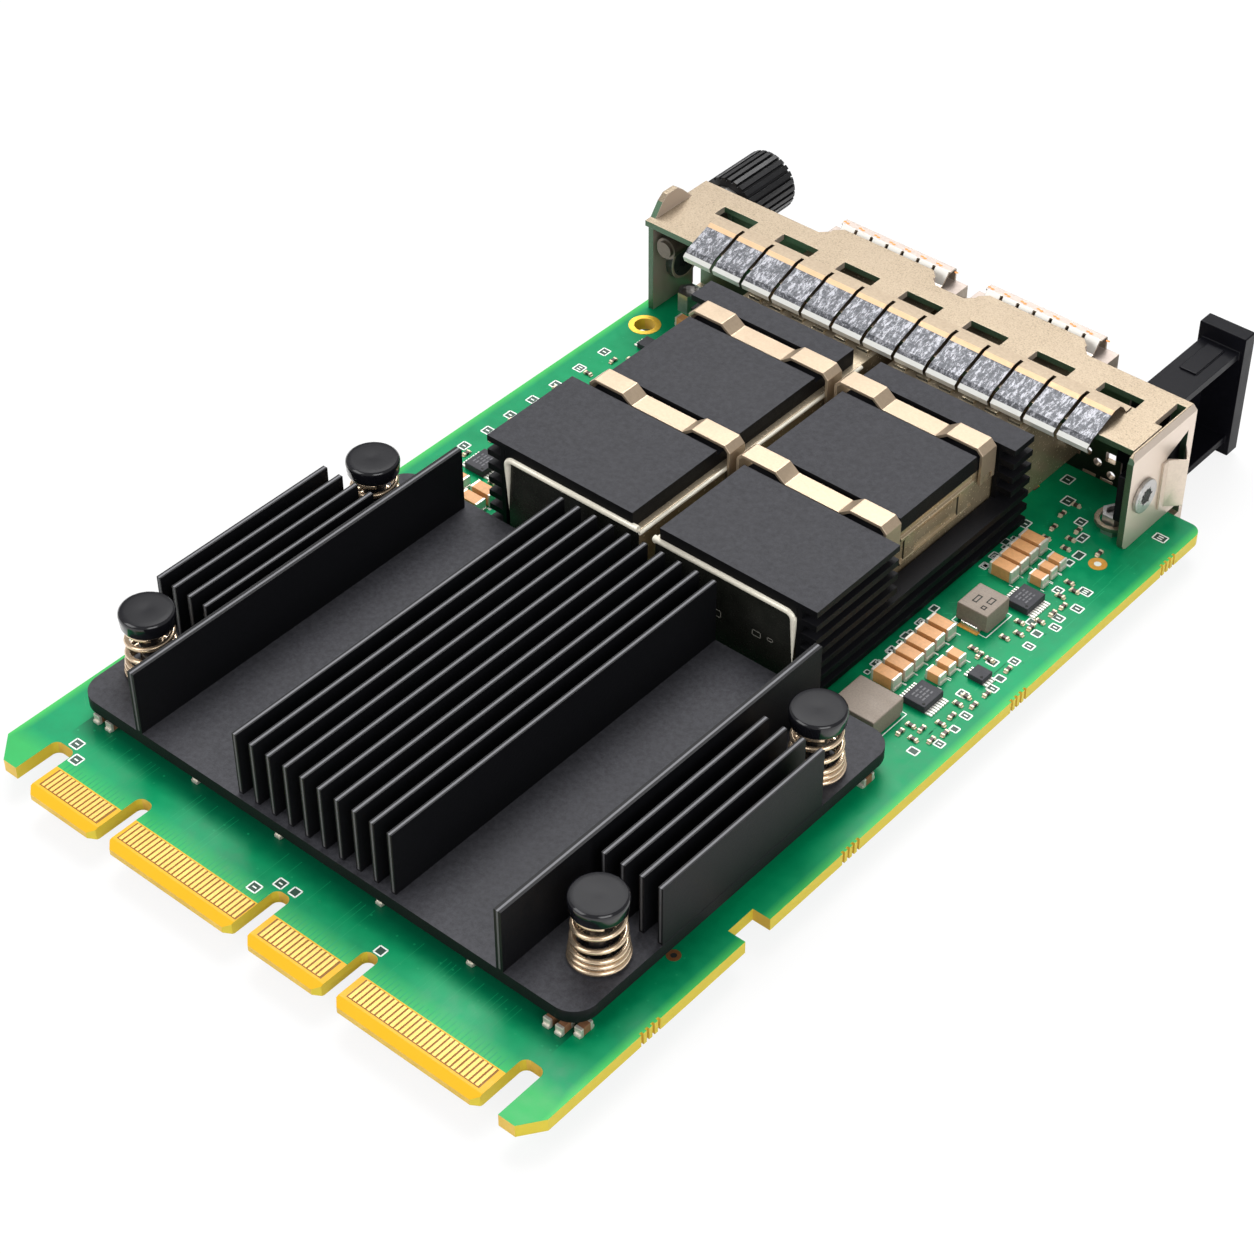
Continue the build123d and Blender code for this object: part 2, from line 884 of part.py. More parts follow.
def pin_spring(x, y):
    """Conical wire spring below the cap of a push pin, bent in short straight lengths."""
    low = plate_top + spring_wire_radius
    height = cap_bottom - plate_top - 2 * spring_wire_radius
    bends = spring_turn_count * spring_bend_count
    wire = spring_wire_radius
    rings = []
    for i in range(bends + 1):
        share = i / bends
        a = 2 * math.pi * spring_turn_count * share
        radius = spring_base_radius + (spring_top_radius - spring_base_radius) * share
        z = low + height * share
        c, s = math.cos(a), math.sin(a)
        inner, middle, outer = radius - wire, radius, radius + wire
        rings.append((
            (outer * c, outer * s, z), (middle * c, middle * s, z + wire),
            (inner * c, inner * s, z), (middle * c, middle * s, z - wire),
        ))
    outlines = [rings[0], rings[-1][::-1]]
    for before, after in zip(rings, rings[1:]):
        for i in range(len(before)):
            j = (i + 1) % len(before)
            outlines.append((before[i], after[i], before[j]))
            outlines.append((before[j], after[i], after[j]))
    faces = [Face(Wire(Polyline(*outline, close=True).edges())) for outline in outlines]
    return Pos(x, y, 0) * Solid(Shell(faces))


def cage(side):
    """Folded sheet cage, open to the front, with a window in its roof."""
    inner, outer = cage_edges(side)
    low, high = min(inner, outer), max(inner, outer)
    body = span(low, high, -cage_front, -cage_rear, 0, cage_height)
    cuts = [span(
        low + cage_wall, high - cage_wall, -cage_front * 2,
        -cage_rear - cage_wall, cage_wall, cage_height - cage_wall
    )]
    cuts.append(span(
        low + cage_window_inset, high - cage_window_inset, -cage_window_front, -cage_window_rear,
        cage_height / 2, cage_height * 2
    ))
    cuts.append(span(
        low + cage_wall, high - cage_wall, -cage_floor_start,
        -cage_rear - cage_wall, -cage_wall, cage_wall * 2
    ))
    body = body - cuts
    for owner, box in cage_pin_boxes(0):
        if owner == side:
            body = body + box
    half = latch_width / 2
    for y in (-groove_first, -groove_second):
        for wall, turn in ((inner, -side), (outer, side)):
            top = latch_height + latch_rise
            body = body + span(wall, wall + turn * latch_out, y - half, y + half, latch_height, top)
    start = -groove_first - groove_width / 2 - rail_play
    end = -groove_second + groove_width / 2 + rail_play
    out = outer + side * ledge_out
    thin = outer + side * tongue_thick
    extras = [span(outer, out, end, start, ledge_top - ledge_thick, ledge_top)]
    extras.append(span(outer, out, end, start, rail_top - ledge_thick, rail_top))
    for share in (tongue_share, 1 - tongue_share):
        y = start + share * (end - start)
        half = tongue_width / 2
        extras.append(span(outer, thin, y - half, y + half, rail_top - ledge_thick, ledge_top - ledge_thick))
    pitch = (high - low) / roof_tab_count
    front = -cage_sink_front - roof_tab_lead
    for i in range(roof_tab_count):
        x = low + (i + 0.5) * pitch
        half = roof_tab_width / 2
        extras.append(span(
            x - half, x + half, front - roof_tab_length, front,
            cage_height - cage_wall, cage_height + roof_tab_rise
        ))
    return body.fuse(*extras)


def cage_connector(side):
    """Plastic connector that takes the card edge of a module."""
    inner, outer = cage_edges(side)
    x = (inner + outer) / 2
    half = connector_width / 2
    rear = -cage_rear - cage_wall - connector_play
    front = rear - connector_length
    body = span(x - half, x + half, front, rear, 0, connector_height)
    slot = connector_slot_width / 2
    floor = connector_slot_floor
    cut = span(
        x - slot, x + slot, front * 2 - rear, front + connector_slot_depth,
        floor, floor + connector_slot_height
    )
    return body - cut


def cage_collar(side):
    """Sleeve round the mouth of a cage with spring fingers on all four sides."""
    inner, outer = cage_edges(side)
    low, high = min(inner, outer), max(inner, outer)
    wrap = collar_sleeve
    sleeve = span(low - wrap, high + wrap, -collar_end, -collar_start, -wrap, cage_height + wrap)
    sleeve = sleeve - span(low, high, -collar_end * 2, cage_front, 0, cage_height)
    middle = (low + high) / 2
    fingers = []
    start, end = -collar_start, -collar_end
    ridge = end + collar_ridge_from_end
    pitch = collar_top_width / collar_finger_count
    top = cage_height + wrap
    rise = collar_bulge_top - wrap
    slope = end + collar_slope_from_end
    brow = end + collar_rise_from_end
    band = (
        (end, top - wrap / 2),
        (end, top + rise - collar_sheet),
        (end + collar_sheet, top + rise),
        (brow, top + rise),
        (brow, top + rise - collar_sheet),
        (end + collar_sheet, top + rise - collar_sheet),
        (end + collar_sheet, top - wrap / 2),
    )
    fingers.append(prism_x(band, middle - collar_top_width / 2, middle + collar_top_width / 2))
    for i in range(collar_finger_count):
        x = middle + (i - (collar_finger_count - 1) / 2) * pitch
        half = (pitch - collar_finger_gap) / 2
        upper = (
            (brow - collar_sheet, top + rise - collar_sheet),
            (slope, top + collar_sheet / 2),
            (start, top - wrap / 2),
            (start, top + collar_sheet),
            (slope, top + collar_sheet * 3 / 2),
            (brow, top + rise),
            (brow - collar_sheet, top + rise),
        )
        lower = (
            (end, -wrap / 2),
            (ridge, -wrap - collar_bulge_side),
            (start, -wrap / 2),
        )
        fingers.append(prism_x(upper, x - half, x + half))
        fingers.append(prism_x(lower, x - half, x + half))
    pitch = collar_side_height / collar_side_finger_count
    for i in range(collar_side_finger_count):
        z = cage_height / 2 + (i - (collar_side_finger_count - 1) / 2) * pitch
        half = (pitch - collar_finger_gap) / 2
        for base, turn in ((high + wrap, 1), (low - wrap, -1)):
            line = (
                (base - turn * wrap / 2, end),
                (base + turn * collar_bulge_side, ridge),
                (base - turn * wrap / 2, start),
            )
            fingers.append(prism_z(line, z - half, z + half))
    return sleeve.fuse(*fingers)


def cage_heat_sink(side):
    """Cover plate with two grooves, stepped outer side and a pedestal."""
    inner, outer = cage_edges(side)
    near = inner + side * cage_sink_inset
    middle = outer + side * cage_sink_middle_overhang
    out = outer + side * cage_sink_overhang
    spine = outer + side * step_clearance
    rear, front = -cage_sink_rear, -cage_sink_front
    half = groove_width / 2
    rear_end = -groove_first + half
    middle_start = -groove_first - half
    middle_end = -groove_second + half
    front_start = -groove_second - half
    bottom = cage_height
    parts = [span(near, middle, front, rear, bottom, cage_sink_floor)]
    parts.append(span(near, middle, middle_end, middle_start, bottom, cage_sink_top))
    for y_from, y_to in ((rear_end, rear), (front, front_start)):
        parts.append(span(near, out, y_from, y_to, cage_sink_top - step_thick, cage_sink_top))
        parts.append(span(near, middle, y_from, y_to, bottom, cage_sink_top))
        foot = cage_sink_top - (step_count - 1) * step_pitch - step_thick
        parts.append(span(spine, spine + side * step_spine, y_from, y_to, foot, cage_sink_top))
        for i in range(step_count):
            top = cage_sink_top - i * step_pitch
            parts.append(span(spine, out, y_from, y_to, top - step_thick, top))
    shelf = cage_sink_top - shelf_step_count * step_pitch
    foot = cage_sink_top - (step_count - 1) * step_pitch - step_thick
    parts.append(span(spine, spine + side * step_spine, front, rear, foot, shelf))
    for i in range(shelf_step_count, step_count):
        top = cage_sink_top - i * step_pitch
        parts.append(span(spine, out, front, rear, top - step_thick, top))
    play = pedestal_play
    low, high = min(inner, outer), max(inner, outer)
    parts.append(span(
        low + cage_window_inset + play, high - cage_window_inset - play,
        -cage_window_front + play, -cage_window_rear - play,
        bottom - pedestal_depth, bottom
    ))
    return parts[0].fuse(*parts[1:])


def strap_clip(side, y):
    """Strap that presses a cage heat sink down and hooks on the cage walls."""
    inner, outer = cage_edges(side)
    high = clip_raised_top - clip_sheet
    low = cage_sink_floor
    leg_in = -clip_leg_play
    leg_out = cage_width + clip_leg_play
    line = (
        (leg_in, high - clip_inner_leg),
        (leg_in, high - clip_bend),
        (leg_in + clip_bend, high),
        (cage_width * clip_inner_raised_share, high),
        (cage_width * clip_inner_low_share, low),
        (cage_width * clip_outer_low_share, low),
        (cage_width * clip_outer_raised_share, high),
        (leg_out - clip_bend, high),
        (leg_out, high - clip_bend),
        (leg_out, high - clip_outer_leg),
    )
    shape = [(inner + side * s, z) for s, z in ribbon(line, clip_sheet)]
    half = clip_width / 2
    strap = prism_y(shape, y - half, y + half)
    gap = clip_hole_play
    hole = latch_width / 2 + gap
    for leg in (leg_in, leg_out):
        x = inner + side * leg
        reach = clip_sheet * 2
        strap = strap - span(
            x - reach, x + reach, y - hole, y + hole, latch_height - gap, latch_height + latch_rise + gap
        )
    return strap


def bracket_cuts():
    """Openings in the bracket."""
    cuts = []
    play = bracket_opening_play
    for side in (-1, 1):
        inner, outer = cage_edges(side)
        low, high = min(inner, outer), max(inner, outer)
        cuts.append(span(low - play, high + play, -lip_end, -face_inner + sheet, -play, cage_height + play))
    for i in range(flange_slot_count):
        middle = (bracket_far - bracket_near) / 2 - flange_slot_shift
        pitch = flange_slot_pitch_share * (bracket_near + bracket_far)
        x = middle + (i - (flange_slot_count - 1) / 2) * pitch
        half = flange_slot_length / 2
        wide = flange_slot_width / 2
        y = -flange_slot_from_front
        cuts.append(span(x - half, x + half, y - wide, y + wide, flange_bottom - sheet, bracket_top + sheet))
    play = tab_hole_play
    cuts.append(span(
        -tab_near - play, -tab_far + play, -lip_end, -face_inner + sheet, -tab_floor - play, tab_top + play
    ))
    outer = cage_edges(1)[1]
    for share in far_vent_shares:
        x = outer + share * (thumb_x - ferrule_outer_radius - outer)
        cuts.append(span(
            x, x + vent_width, -lip_end, -face_inner + sheet, vent_floor, vent_floor + vent_height
        ))
    outer = cage_edges(-1)[1]
    free = tab_far + outer
    for i, share in enumerate(round_vent_shares):
        x = outer - share * free
        z = round_vent_height - i * round_vent_fall
        cuts.append(bar(round_vent_radius, hole_side_count, (x, -lip_end, z), (x, -face_inner + sheet, z)))
    x, half = outer - square_vent_share * free, square_vent_side / 2
    cuts.append(span(
        x - half, x + half, -lip_end, -face_inner + sheet,
        square_vent_floor, square_vent_floor + square_vent_side
    ))
    for start_share, end_share in slot_vent_shares:
        cuts.append(span(
            outer - end_share * free, outer - start_share * free, -lip_end, -face_inner + sheet,
            -slot_vent_drop, -slot_vent_drop + slot_vent_height
        ))
    bend, over = near_bend, sheet
    corner = (
        (-bracket_near - over, bracket_top - bend - over),
        (-bracket_near + bend + over, bracket_top + over),
        (-bracket_near - over, bracket_top + over),
    )
    cuts.append(prism_y(corner, -lip_end, -near_flange_rear + sheet))
    cuts.append(rod(
        ferrule_shank_radius, (thumb_x, -lip_end, thumb_z), (thumb_x, -face_inner + sheet, thumb_z)
    ))
    y, z = -tab_screw_from_front, tab_screw_height
    cuts.append(bar(tab_screw_hole, hole_side_count, (-bracket_near - sheet, y, z), (-near_inner + sheet, y, z)))
    seam = -near_inner
    wide_rear = near_seam_wide_rear - board_length
    cuts.append(span(
        seam, seam + near_seam, wide_rear, -flange_rear + sheet, flange_bottom - sheet, bracket_top + sheet
    ))
    cuts.append(span(
        seam, seam + near_seam_wide, -bracket_face + near_seam_front,
        wide_rear, flange_bottom - sheet, bracket_top + sheet
    ))
    y, z = -boss_from_front, boss_height
    cuts.append(bar(boss_shank_radius, hole_side_count, (far_inner - sheet, y, z), (bracket_far + sheet, y, z)))
    window = (
        (-side_window_rear, side_window_floor),
        (-side_window_front, side_window_floor),
        (-side_window_front, side_window_top),
        (-side_window_front, side_notch_top),
        (-side_window_rear, side_window_top),
    )
    cuts.append(prism_x(window, -bracket_near - sheet, -near_inner + sheet / 2))
    for x, y in nut_places():
        cuts.append(bar(bracket_screw_hole, hole_side_count, (x, y, lowest), (x, y, board_bottom)))
    return cuts


def bracket():
    """Folded sheet bracket: face, top flange with lips, side flanges and feet."""
    body = span(-bracket_near, bracket_far, -bracket_face, -face_inner, lowest, bracket_top)
    parts = [span(-bracket_near, bracket_far, -bracket_face, -flange_rear, flange_bottom, bracket_top)]
    for side in (-1, 1):
        inner, outer = cage_edges(side)
        low = min(inner, outer) + lip_inset
        high = max(inner, outer) - lip_inset
        corner = lip_corner
        outline = (
            (low - corner, -bracket_face),
            (low, -bracket_face - corner),
            (low, -lip_end + corner),
            (low + corner, -lip_end),
            (high - corner, -lip_end),
            (high, -lip_end + corner),
            (high, -bracket_face - corner),
            (high + corner, -bracket_face),
        )
        parts.append(prism_z(outline, flange_bottom, bracket_top))
    rear, corner, top = -near_flange_rear, near_flange_corner, bracket_top
    side = (
        (-bracket_face, 0),
        (rear - corner, 0),
        (rear - corner / 3, corner / 3),
        (rear, corner),
        (rear, top - corner),
        (rear - corner / 3, top - corner / 3),
        (rear - corner, top),
        (-bracket_face, top),
    )
    parts.append(prism_x(side, -bracket_near, -near_inner))
    shoulder_top = bracket_top + arch_shoulder_rise
    arch_top = bracket_top + arch_rise
    peak = -arch_peak_from_front
    arch = (
        (-far_flange_rear, 0),
        (-far_flange_front, 0),
        (-far_flange_front, bracket_top - arch_foot_fall),
        (peak - arch_shoulder, shoulder_top),
        (peak - arch_shoulder / 2, arch_top),
        (peak + arch_shoulder / 2, arch_top),
        (peak + arch_shoulder, shoulder_top),
        (-far_flange_rear, bracket_top - arch_foot_fall),
    )
    parts.append(prism_x(arch, far_inner, bracket_far))
    foot_top = board_bottom
    foot_bottom = board_bottom - sheet
    parts.append(span(bracket_far - foot_width, bracket_far, -face_inner, -foot_rear, foot_bottom, foot_top))
    parts.append(span(
        -bracket_near, -bracket_near + foot_width, -face_inner, -foot_rear, foot_bottom, foot_top
    ))
    x, y = nut_places()[1]
    low, high = cradle_floor, cradle_floor + cradle_thick
    cradle = bar(cradle_radius, hardware_side_count, (x, y, low), (x, y, high))
    cradle = cradle + span(-near_inner, x, y - cradle_radius / 2, y + cradle_radius / 2, low, high)
    cradle = cradle - bar(nut_radius + cradle_play, hole_side_count, (x, y, low - sheet), (x, y, high + sheet))
    return body.fuse(*parts, cradle) - bracket_cuts()


def finger_strip():
    """Strip of contact springs that clips over the rear edge of the top flange."""
    top = bracket_top
    rear = -flange_rear
    root_front, root_rear = rear - strip_root_front_in, rear - strip_root_rear_in
    root = span(-strip_near, strip_far, root_front, root_rear, top, top + strip_sheet)
    line = (
        (root_front, top),
        (root_rear, top),
        (rear - strip_shoulder_in, top + strip_shoulder_rise - strip_sheet),
        (rear - strip_ridge_in, top + strip_ridge_rise - strip_sheet),
        (rear - strip_ridge_rear_in, top + strip_ridge_rise - strip_sheet),
        (rear - strip_brow_in, top + strip_brow_rise - strip_sheet),
        (rear + strip_fall_out, top - strip_fall_drop),
        (rear + strip_lip_out, top - strip_lip_drop),
        (rear + strip_curl_out, top - strip_curl_drop),
    )
    outline = ribbon(line, strip_sheet)
    pitch = (strip_near + strip_far) / strip_finger_count
    fingers = []
    for i in range(strip_finger_count):
        x = -strip_near + (i + 0.5) * pitch
        half = (pitch - strip_finger_gap) / 2
        fingers.append(prism_x(outline, x - half, x + half))
    return root.fuse(*fingers)


def side_spring():
    """Bent leaf on the outside of the near side flange."""
    face = -bracket_near
    line = (
        (face, -side_spring_end),
        (face - side_spring_out, -side_spring_peak),
        (face - side_spring_sheet, -side_window_rear),
        (face - side_spring_sheet, -side_spring_root),
        (face, -side_spring_root),
        (face, -side_window_rear - side_spring_sheet),
        (face - side_spring_out + side_spring_sheet, -side_spring_peak + side_spring_sheet / 2),
    )
    floor = side_window_floor + side_spring_inset
    return prism_z(line, floor, side_window_top - side_spring_inset)


def flange_boss():
    """Riveted boss on the far side flange with a recess in its face."""
    y, z = -boss_from_front, boss_height
    start = far_inner - boss_thick
    sides = hardware_side_count
    boss = bar(boss_radius, sides, (start, y, z), (far_inner, y, z))
    boss = boss + bar(boss_shank_radius, hole_side_count, (start, y, z), (bracket_far, y, z))
    return boss - bar(boss_recess_radius, sides, (start - sheet, y, z), (start + boss_recess_depth, y, z))


def ferrule():
    """Pale bush in the face of the bracket for the thumbscrew."""
    x, z = thumb_x, thumb_z
    flange = -bracket_face - ferrule_flange
    bush = bar(ferrule_outer_radius, hardware_side_count, (x, flange, z), (x, -bracket_face, z))
    bush = bush + rod(ferrule_shank_radius, (x, flange, z), (x, -face_inner, z))
    return bush - rod(shaft_radius + shaft_play, (x, flange - sheet, z), (x, -face_inner + sheet, z))


def thumbscrew_knob():
    """Fluted knob with a chamfered outer end."""
    points, ends = [], []
    step = 2 * math.pi / knob_flute_count
    for i in range(knob_flute_count):
        a = i * step
        crest = step * knob_crest_share
        root = step * knob_root_share
        for radius, angle in (
            (knob_radius, a - crest), (knob_radius, a + crest),
            (knob_root_radius, a + step / 2 - root / 2), (knob_root_radius, a + step / 2 + root / 2),
        ):
            points.append((thumb_x + radius * math.sin(angle), thumb_z + radius * math.cos(angle)))
            less = radius * (1 - knob_chamfer / knob_radius)
            ends.append((thumb_x + less * math.sin(angle), thumb_z + less * math.cos(angle)))
    start = -bracket_face - ferrule_flange - knob_gap
    chamfer_start = start - knob_length + knob_chamfer
    outlines = [
        [(x, start, z) for x, z in points],
        [(x, chamfer_start, z) for x, z in points],
        [(x, start - knob_length, z) for x, z in ends],
    ]
    rings = [Wire(Polyline(*outline, close=True).edges()) for outline in outlines]
    faces = [Face(rings[0]), Face(rings[-1])]
    count = len(points)
    for before, after in zip(outlines, outlines[1:]):
        for i in range(count):
            j = (i + 1) % count
            corners = (before[i], before[j], after[j], after[i])
            faces.append(Face(Wire(Polyline(*corners, close=True).edges())))
    knob = Solid(Shell(faces))
    bore_end = start - knob_bore_depth
    bore = rod(shaft_radius + knob_bore_play, (thumb_x, start + sheet, thumb_z), (thumb_x, bore_end, thumb_z))
    return knob - bore


def thumbscrew_shaft():
    """Screw shaft with a groove for its retaining ring."""
    x, z = thumb_x, thumb_z
    start = -bracket_face - ferrule_flange - knob_gap - knob_bore_depth
    tip = -shaft_tip
    shaft = rod(shaft_radius, (x, start, z), (x, tip - shaft_tip_chamfer, z))
    shaft = shaft + rod(ring_groove_radius, (x, start, z), (x, tip, z))
    half = ring_thick / 2 + ring_play
    y = -ring_from_front
    groove = rod(shaft_radius + ring_play, (x, y - half, z), (x, y + half, z))
    groove = groove - rod(ring_groove_radius, (x, y - half, z), (x, y + half, z))
    return shaft - groove


def retaining_ring():
    """Ring in the groove that keeps the thumbscrew in the bracket."""
    half = ring_thick / 2
    y = -ring_from_front
    x, z = thumb_x, thumb_z
    ring = bar(ring_radius, hardware_side_count, (x, y - half, z), (x, y + half, z))
    return ring - rod(ring_groove_radius + ring_play, (x, y - half * 2, z), (x, y + half * 2, z))


def pull_tab():
    """Black pull tab: arm inside the bracket, hollow shaft and end plate."""
    body = span(-tab_near, -tab_far, -tab_plate_start, -face_inner, -tab_floor, tab_top)
    end = span(-tab_plate_near, -tab_plate_far, -tab_end, -tab_plate_start, -tab_plate_floor, tab_plate_top)
    block_end = -face_inner + arm_block
    block = span(-near_inner, -tab_far, -face_inner, block_end, arm_floor, arm_top)
    arm = span(-near_inner, -near_inner + arm_thick, -face_inner, -arm_rear, arm_floor, arm_top)
    middle = -(tab_near + tab_far) / 2
    half = tab_ridge_width / 2
    ridge_from = -tab_plate_start + tab_wall
    ridge = span(
        middle - half, middle + half, ridge_from, ridge_from + tab_ridge_length, tab_top, tab_top + tab_ridge
    )
    recess = span(
        -tab_near * 2, -tab_far - tab_wall, -tab_plate_start, -tab_recess_start,
        -tab_floor + tab_wall, tab_top - tab_wall
    )
    y, z = -tab_screw_from_front, tab_screw_height
    inner_end = -near_inner + tab_screw_length - sheet
    hole = bar(tab_screw_radius, hole_side_count, (-bracket_near, y, z), (inner_end, y, z))
    return body.fuse(end, block, arm, ridge) - [recess, hole]


def tab_screw():
    """Screw that holds the pull tab to the near side flange."""
    y, z = -tab_screw_from_front, tab_screw_height
    face = -bracket_near
    head = bar(tab_screw_head_radius, 2 * hardware_side_count, (face - tab_screw_head, y, z), (face, y, z))
    shank = bar(tab_screw_radius, hole_side_count, (face, y, z), (face + tab_screw_length, y, z))
    start = face - tab_screw_head
    way = Plane(origin=(start, y, z), z_dir=(1, 0, 0))
    recess = extrude(way * RegularPolygon(tab_screw_recess, 6), tab_screw_recess_depth)
    return (head + shank) - recess


def bracket_nut(x, y):
    """Threaded nut soldered on the board."""
    nut = bar(nut_radius, nut_side_count, (x, y, 0), (x, y, nut_height))
    return nut - bar(bracket_screw_radius, hole_side_count, (x, y, -nut_height), (x, y, nut_height * 2))


def bracket_screw(x, y):
    """Screw from below through the foot and the board into the nut."""
    foot = board_bottom - sheet
    bottom = foot - bracket_screw_head
    head = bar(bracket_screw_head_radius, hardware_side_count, (x, y, bottom), (x, y, foot))
    top = bottom + bracket_screw_length
    screw = head + bar(bracket_screw_radius, hole_side_count, (x, y, bottom), (x, y, top))
    way = Plane(origin=(x, y, bottom), z_dir=(0, 0, 1))
    return screw - extrude(way * RegularPolygon(driver_radius, 6), driver_depth)


def component(share, x_size, y_size, height):
    """Box-shaped component standing on the board beside the cages."""
    return block(*place(share), x_size, y_size, height)


def block(x, y, x_size, y_size, height):
    """Box standing on the board with its middle at a point."""
    return span(x - x_size / 2, x + x_size / 2, y - y_size / 2, y + y_size / 2, 0, height)


def inductor(share, x_size, y_size, height):
    """Moulded inductor, stepped in where its two terminals wrap up the sides."""
    x, y = place(share)
    body = component(share, x_size, y_size, height)
    half = y_size / 2
    cuts = []
    for turn in (-1, 1):
        edge = y + turn * half
        cuts.append(span(
            x - x_size, x - inductor_terminal, edge, edge - turn * inductor_foot, 0, inductor_foot
        ))
        cuts.append(span(
            x + inductor_terminal, x + x_size, edge, edge - turn * inductor_foot, 0, inductor_foot
        ))
    return body - cuts


def passive(share):
    """Tiny chip passive, turned when its third value is one."""
    if share[2] == 1:
        return component(share, passive_short, passive_long, passive_height)
    return component(share, passive_long, passive_short, passive_height)


def bottom_cap(share):
    """Small capacitor below the board."""
    x, y = place_below(share)
    half_x, half_y = passive_short, passive_long
    return span(
        x - half_x, x + half_x, y - half_y, y + half_y, board_bottom - under_cap_height, board_bottom
    )


def save(name, shapes):
    """Move to the shared frame and write one node."""
    middle_y = tab_end / 2
    solids = []
    for shape in shapes if isinstance(shapes, list) else [shapes]:
        moved = Pos(-middle_x, middle_y, lift) * shape
        solids.extend(moved.solids())
    whole = solids[0] if len(solids) == 1 else Compound(children=solids)
    export_step(whole, "parts/" + name + ".step")


def write_all():
    """Write every node."""
    os.makedirs("parts", exist_ok=True)
    save("circuit_board", circuit_board())
    save("edge_contacts_top", edge_contacts(0, plating))
    save("edge_contacts_bottom", edge_contacts(board_bottom - plating, board_bottom))
    save("plated_hole_ring", hole_ring())
    save("main_heat_sink", main_heat_sink())
    save("controller_chip", controller_chip())
    save("thermal_pad", thermal_pad())
    save("push_pins", [push_pin(x, y) for x, y in pin_places()])
    save("push_pin_springs", [pin_spring(x, y) for x, y in pin_places()])
    for name, side in (("far", 1), ("near", -1)):
        save("cage_" + name, cage(side))
        save("cage_connector_" + name, cage_connector(side))
        save("cage_collar_" + name, cage_collar(side))
        save("cage_heat_sink_" + name, cage_heat_sink(side))
        save("strap_clips_" + name, [strap_clip(side, -groove_first), strap_clip(side, -groove_second)])
    save("bracket", bracket())
    save("finger_strip", finger_strip())
    save("side_spring", side_spring())
    save("flange_boss", flange_boss())
    save("thumbscrew_ferrule", ferrule())
    save("thumbscrew_knob", thumbscrew_knob())
    save("thumbscrew_shaft", thumbscrew_shaft())
    save("thumbscrew_ring", retaining_ring())
    save("pull_tab", pull_tab())
    save("pull_tab_screw", tab_screw())
    save("bracket_nuts", [bracket_nut(x, y) for x, y in nut_places()])
    save("bracket_screws", [bracket_screw(x, y) for x, y in nut_places()])
    save("inductor_small", inductor(
        small_inductor_share[0], small_inductor_x_size, small_inductor_y_size, small_inductor_height
    ))
    save("inductor_large", inductor(
        large_inductor_share[0], large_inductor_x_size, large_inductor_y_size, large_inductor_height
    ))
    save("large_capacitors", [
        component(s, large_cap_x, large_cap_y, large_cap_height) for s in large_cap_shares
    ])
    save("small_capacitors", [
        component(s, small_cap_x, small_cap_y, small_cap_height) for s in small_cap_shares
    ])
    save("regulator_chips", [
        component(s, regulator_x, regulator_y, regulator_height) for s in regulator_shares
    ])
    save("small_chips", [
        component(s, small_chip_side, small_chip_side, small_chip_height) for s in small_chip_shares
    ])
    save("chip_passives", [passive(share) for share in passive_shares])
    save("under_sink_capacitors", [
        block(*place_under_sink(s), under_cap_x, under_cap_y, under_cap_height) for s in under_cap_shares
    ])
    save("bottom_capacitors", [bottom_cap(share) for share in bottom_cap_shares])


write_all()
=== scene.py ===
import math
import random
import bmesh
import bpy
from mathutils import Matrix, Vector


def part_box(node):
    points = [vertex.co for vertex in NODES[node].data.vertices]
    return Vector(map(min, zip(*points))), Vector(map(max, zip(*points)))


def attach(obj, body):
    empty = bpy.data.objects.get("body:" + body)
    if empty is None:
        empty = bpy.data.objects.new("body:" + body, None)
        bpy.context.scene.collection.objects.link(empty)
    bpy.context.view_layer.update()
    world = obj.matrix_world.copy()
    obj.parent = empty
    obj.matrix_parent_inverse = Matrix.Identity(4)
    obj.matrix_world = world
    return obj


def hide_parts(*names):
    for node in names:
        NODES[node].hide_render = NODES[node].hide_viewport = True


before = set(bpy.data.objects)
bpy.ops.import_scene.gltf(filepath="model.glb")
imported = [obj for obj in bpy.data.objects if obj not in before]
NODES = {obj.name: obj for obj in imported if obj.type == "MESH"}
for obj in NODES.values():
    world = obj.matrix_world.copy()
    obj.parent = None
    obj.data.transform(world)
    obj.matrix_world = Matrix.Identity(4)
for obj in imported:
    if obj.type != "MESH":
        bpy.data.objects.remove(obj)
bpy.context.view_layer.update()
MM = 0.001
# The card is described in millimetres: x across, y toward the gold fingers, z up from the board.
SHIFT = Vector((-0.1, 65.75, 3.97))
RANDOM = random.Random(7)

# Sizes and places of the card's parts, in millimetres.
PIN_PLACES = [(x, y) for x in (-30.6, 30.6) for y in (-18.3, -51.2)]
PLATE_TOP = 3.55
CAP_UNDERSIDE = 9.98
CAP_TOP = 11.9
FIN_TOP = 10.3
COVER_FIN_TOP = 12.3
CENTRE_FIN_PITCH = 2.335
CENTRE_FIN_REACH = 12.0
OUTER_FIN_PITCH = 2.316
OUTER_FIN_FIRST = 27.1
OUTER_FIN_LIMIT = 26.2
SINK_WALL = 24.8
# Half width of the painted highlight line along each fin top.
FIN_HIGHLIGHT_HALF = 0.12
PLATE_HALF_WIDTH = 33.2
# Painted shadow on the board below the plate's front: its rear limit, and where it starts and ends to fade.
SINK_SHADOW_BAND = (-13.0, -11.2, -8.3)
BOARD_HALF_WIDTH = 38.0
# Widths of the paler mask along the long edges and behind the tabs.
SIDE_GLOW = 1.1
FRONT_GLOW = 2.4
CONTACT_PITCH = 0.6
TAB_DEPTH = 4.2
# Nearest and farthest line of the contacts, measured from the tabs' front.
CONTACT_STRIP = (1.3, 4.05)
# Limits of the tabs across the card, in the shared frame.
TAB_SIDES = (-34.1, 33.4)
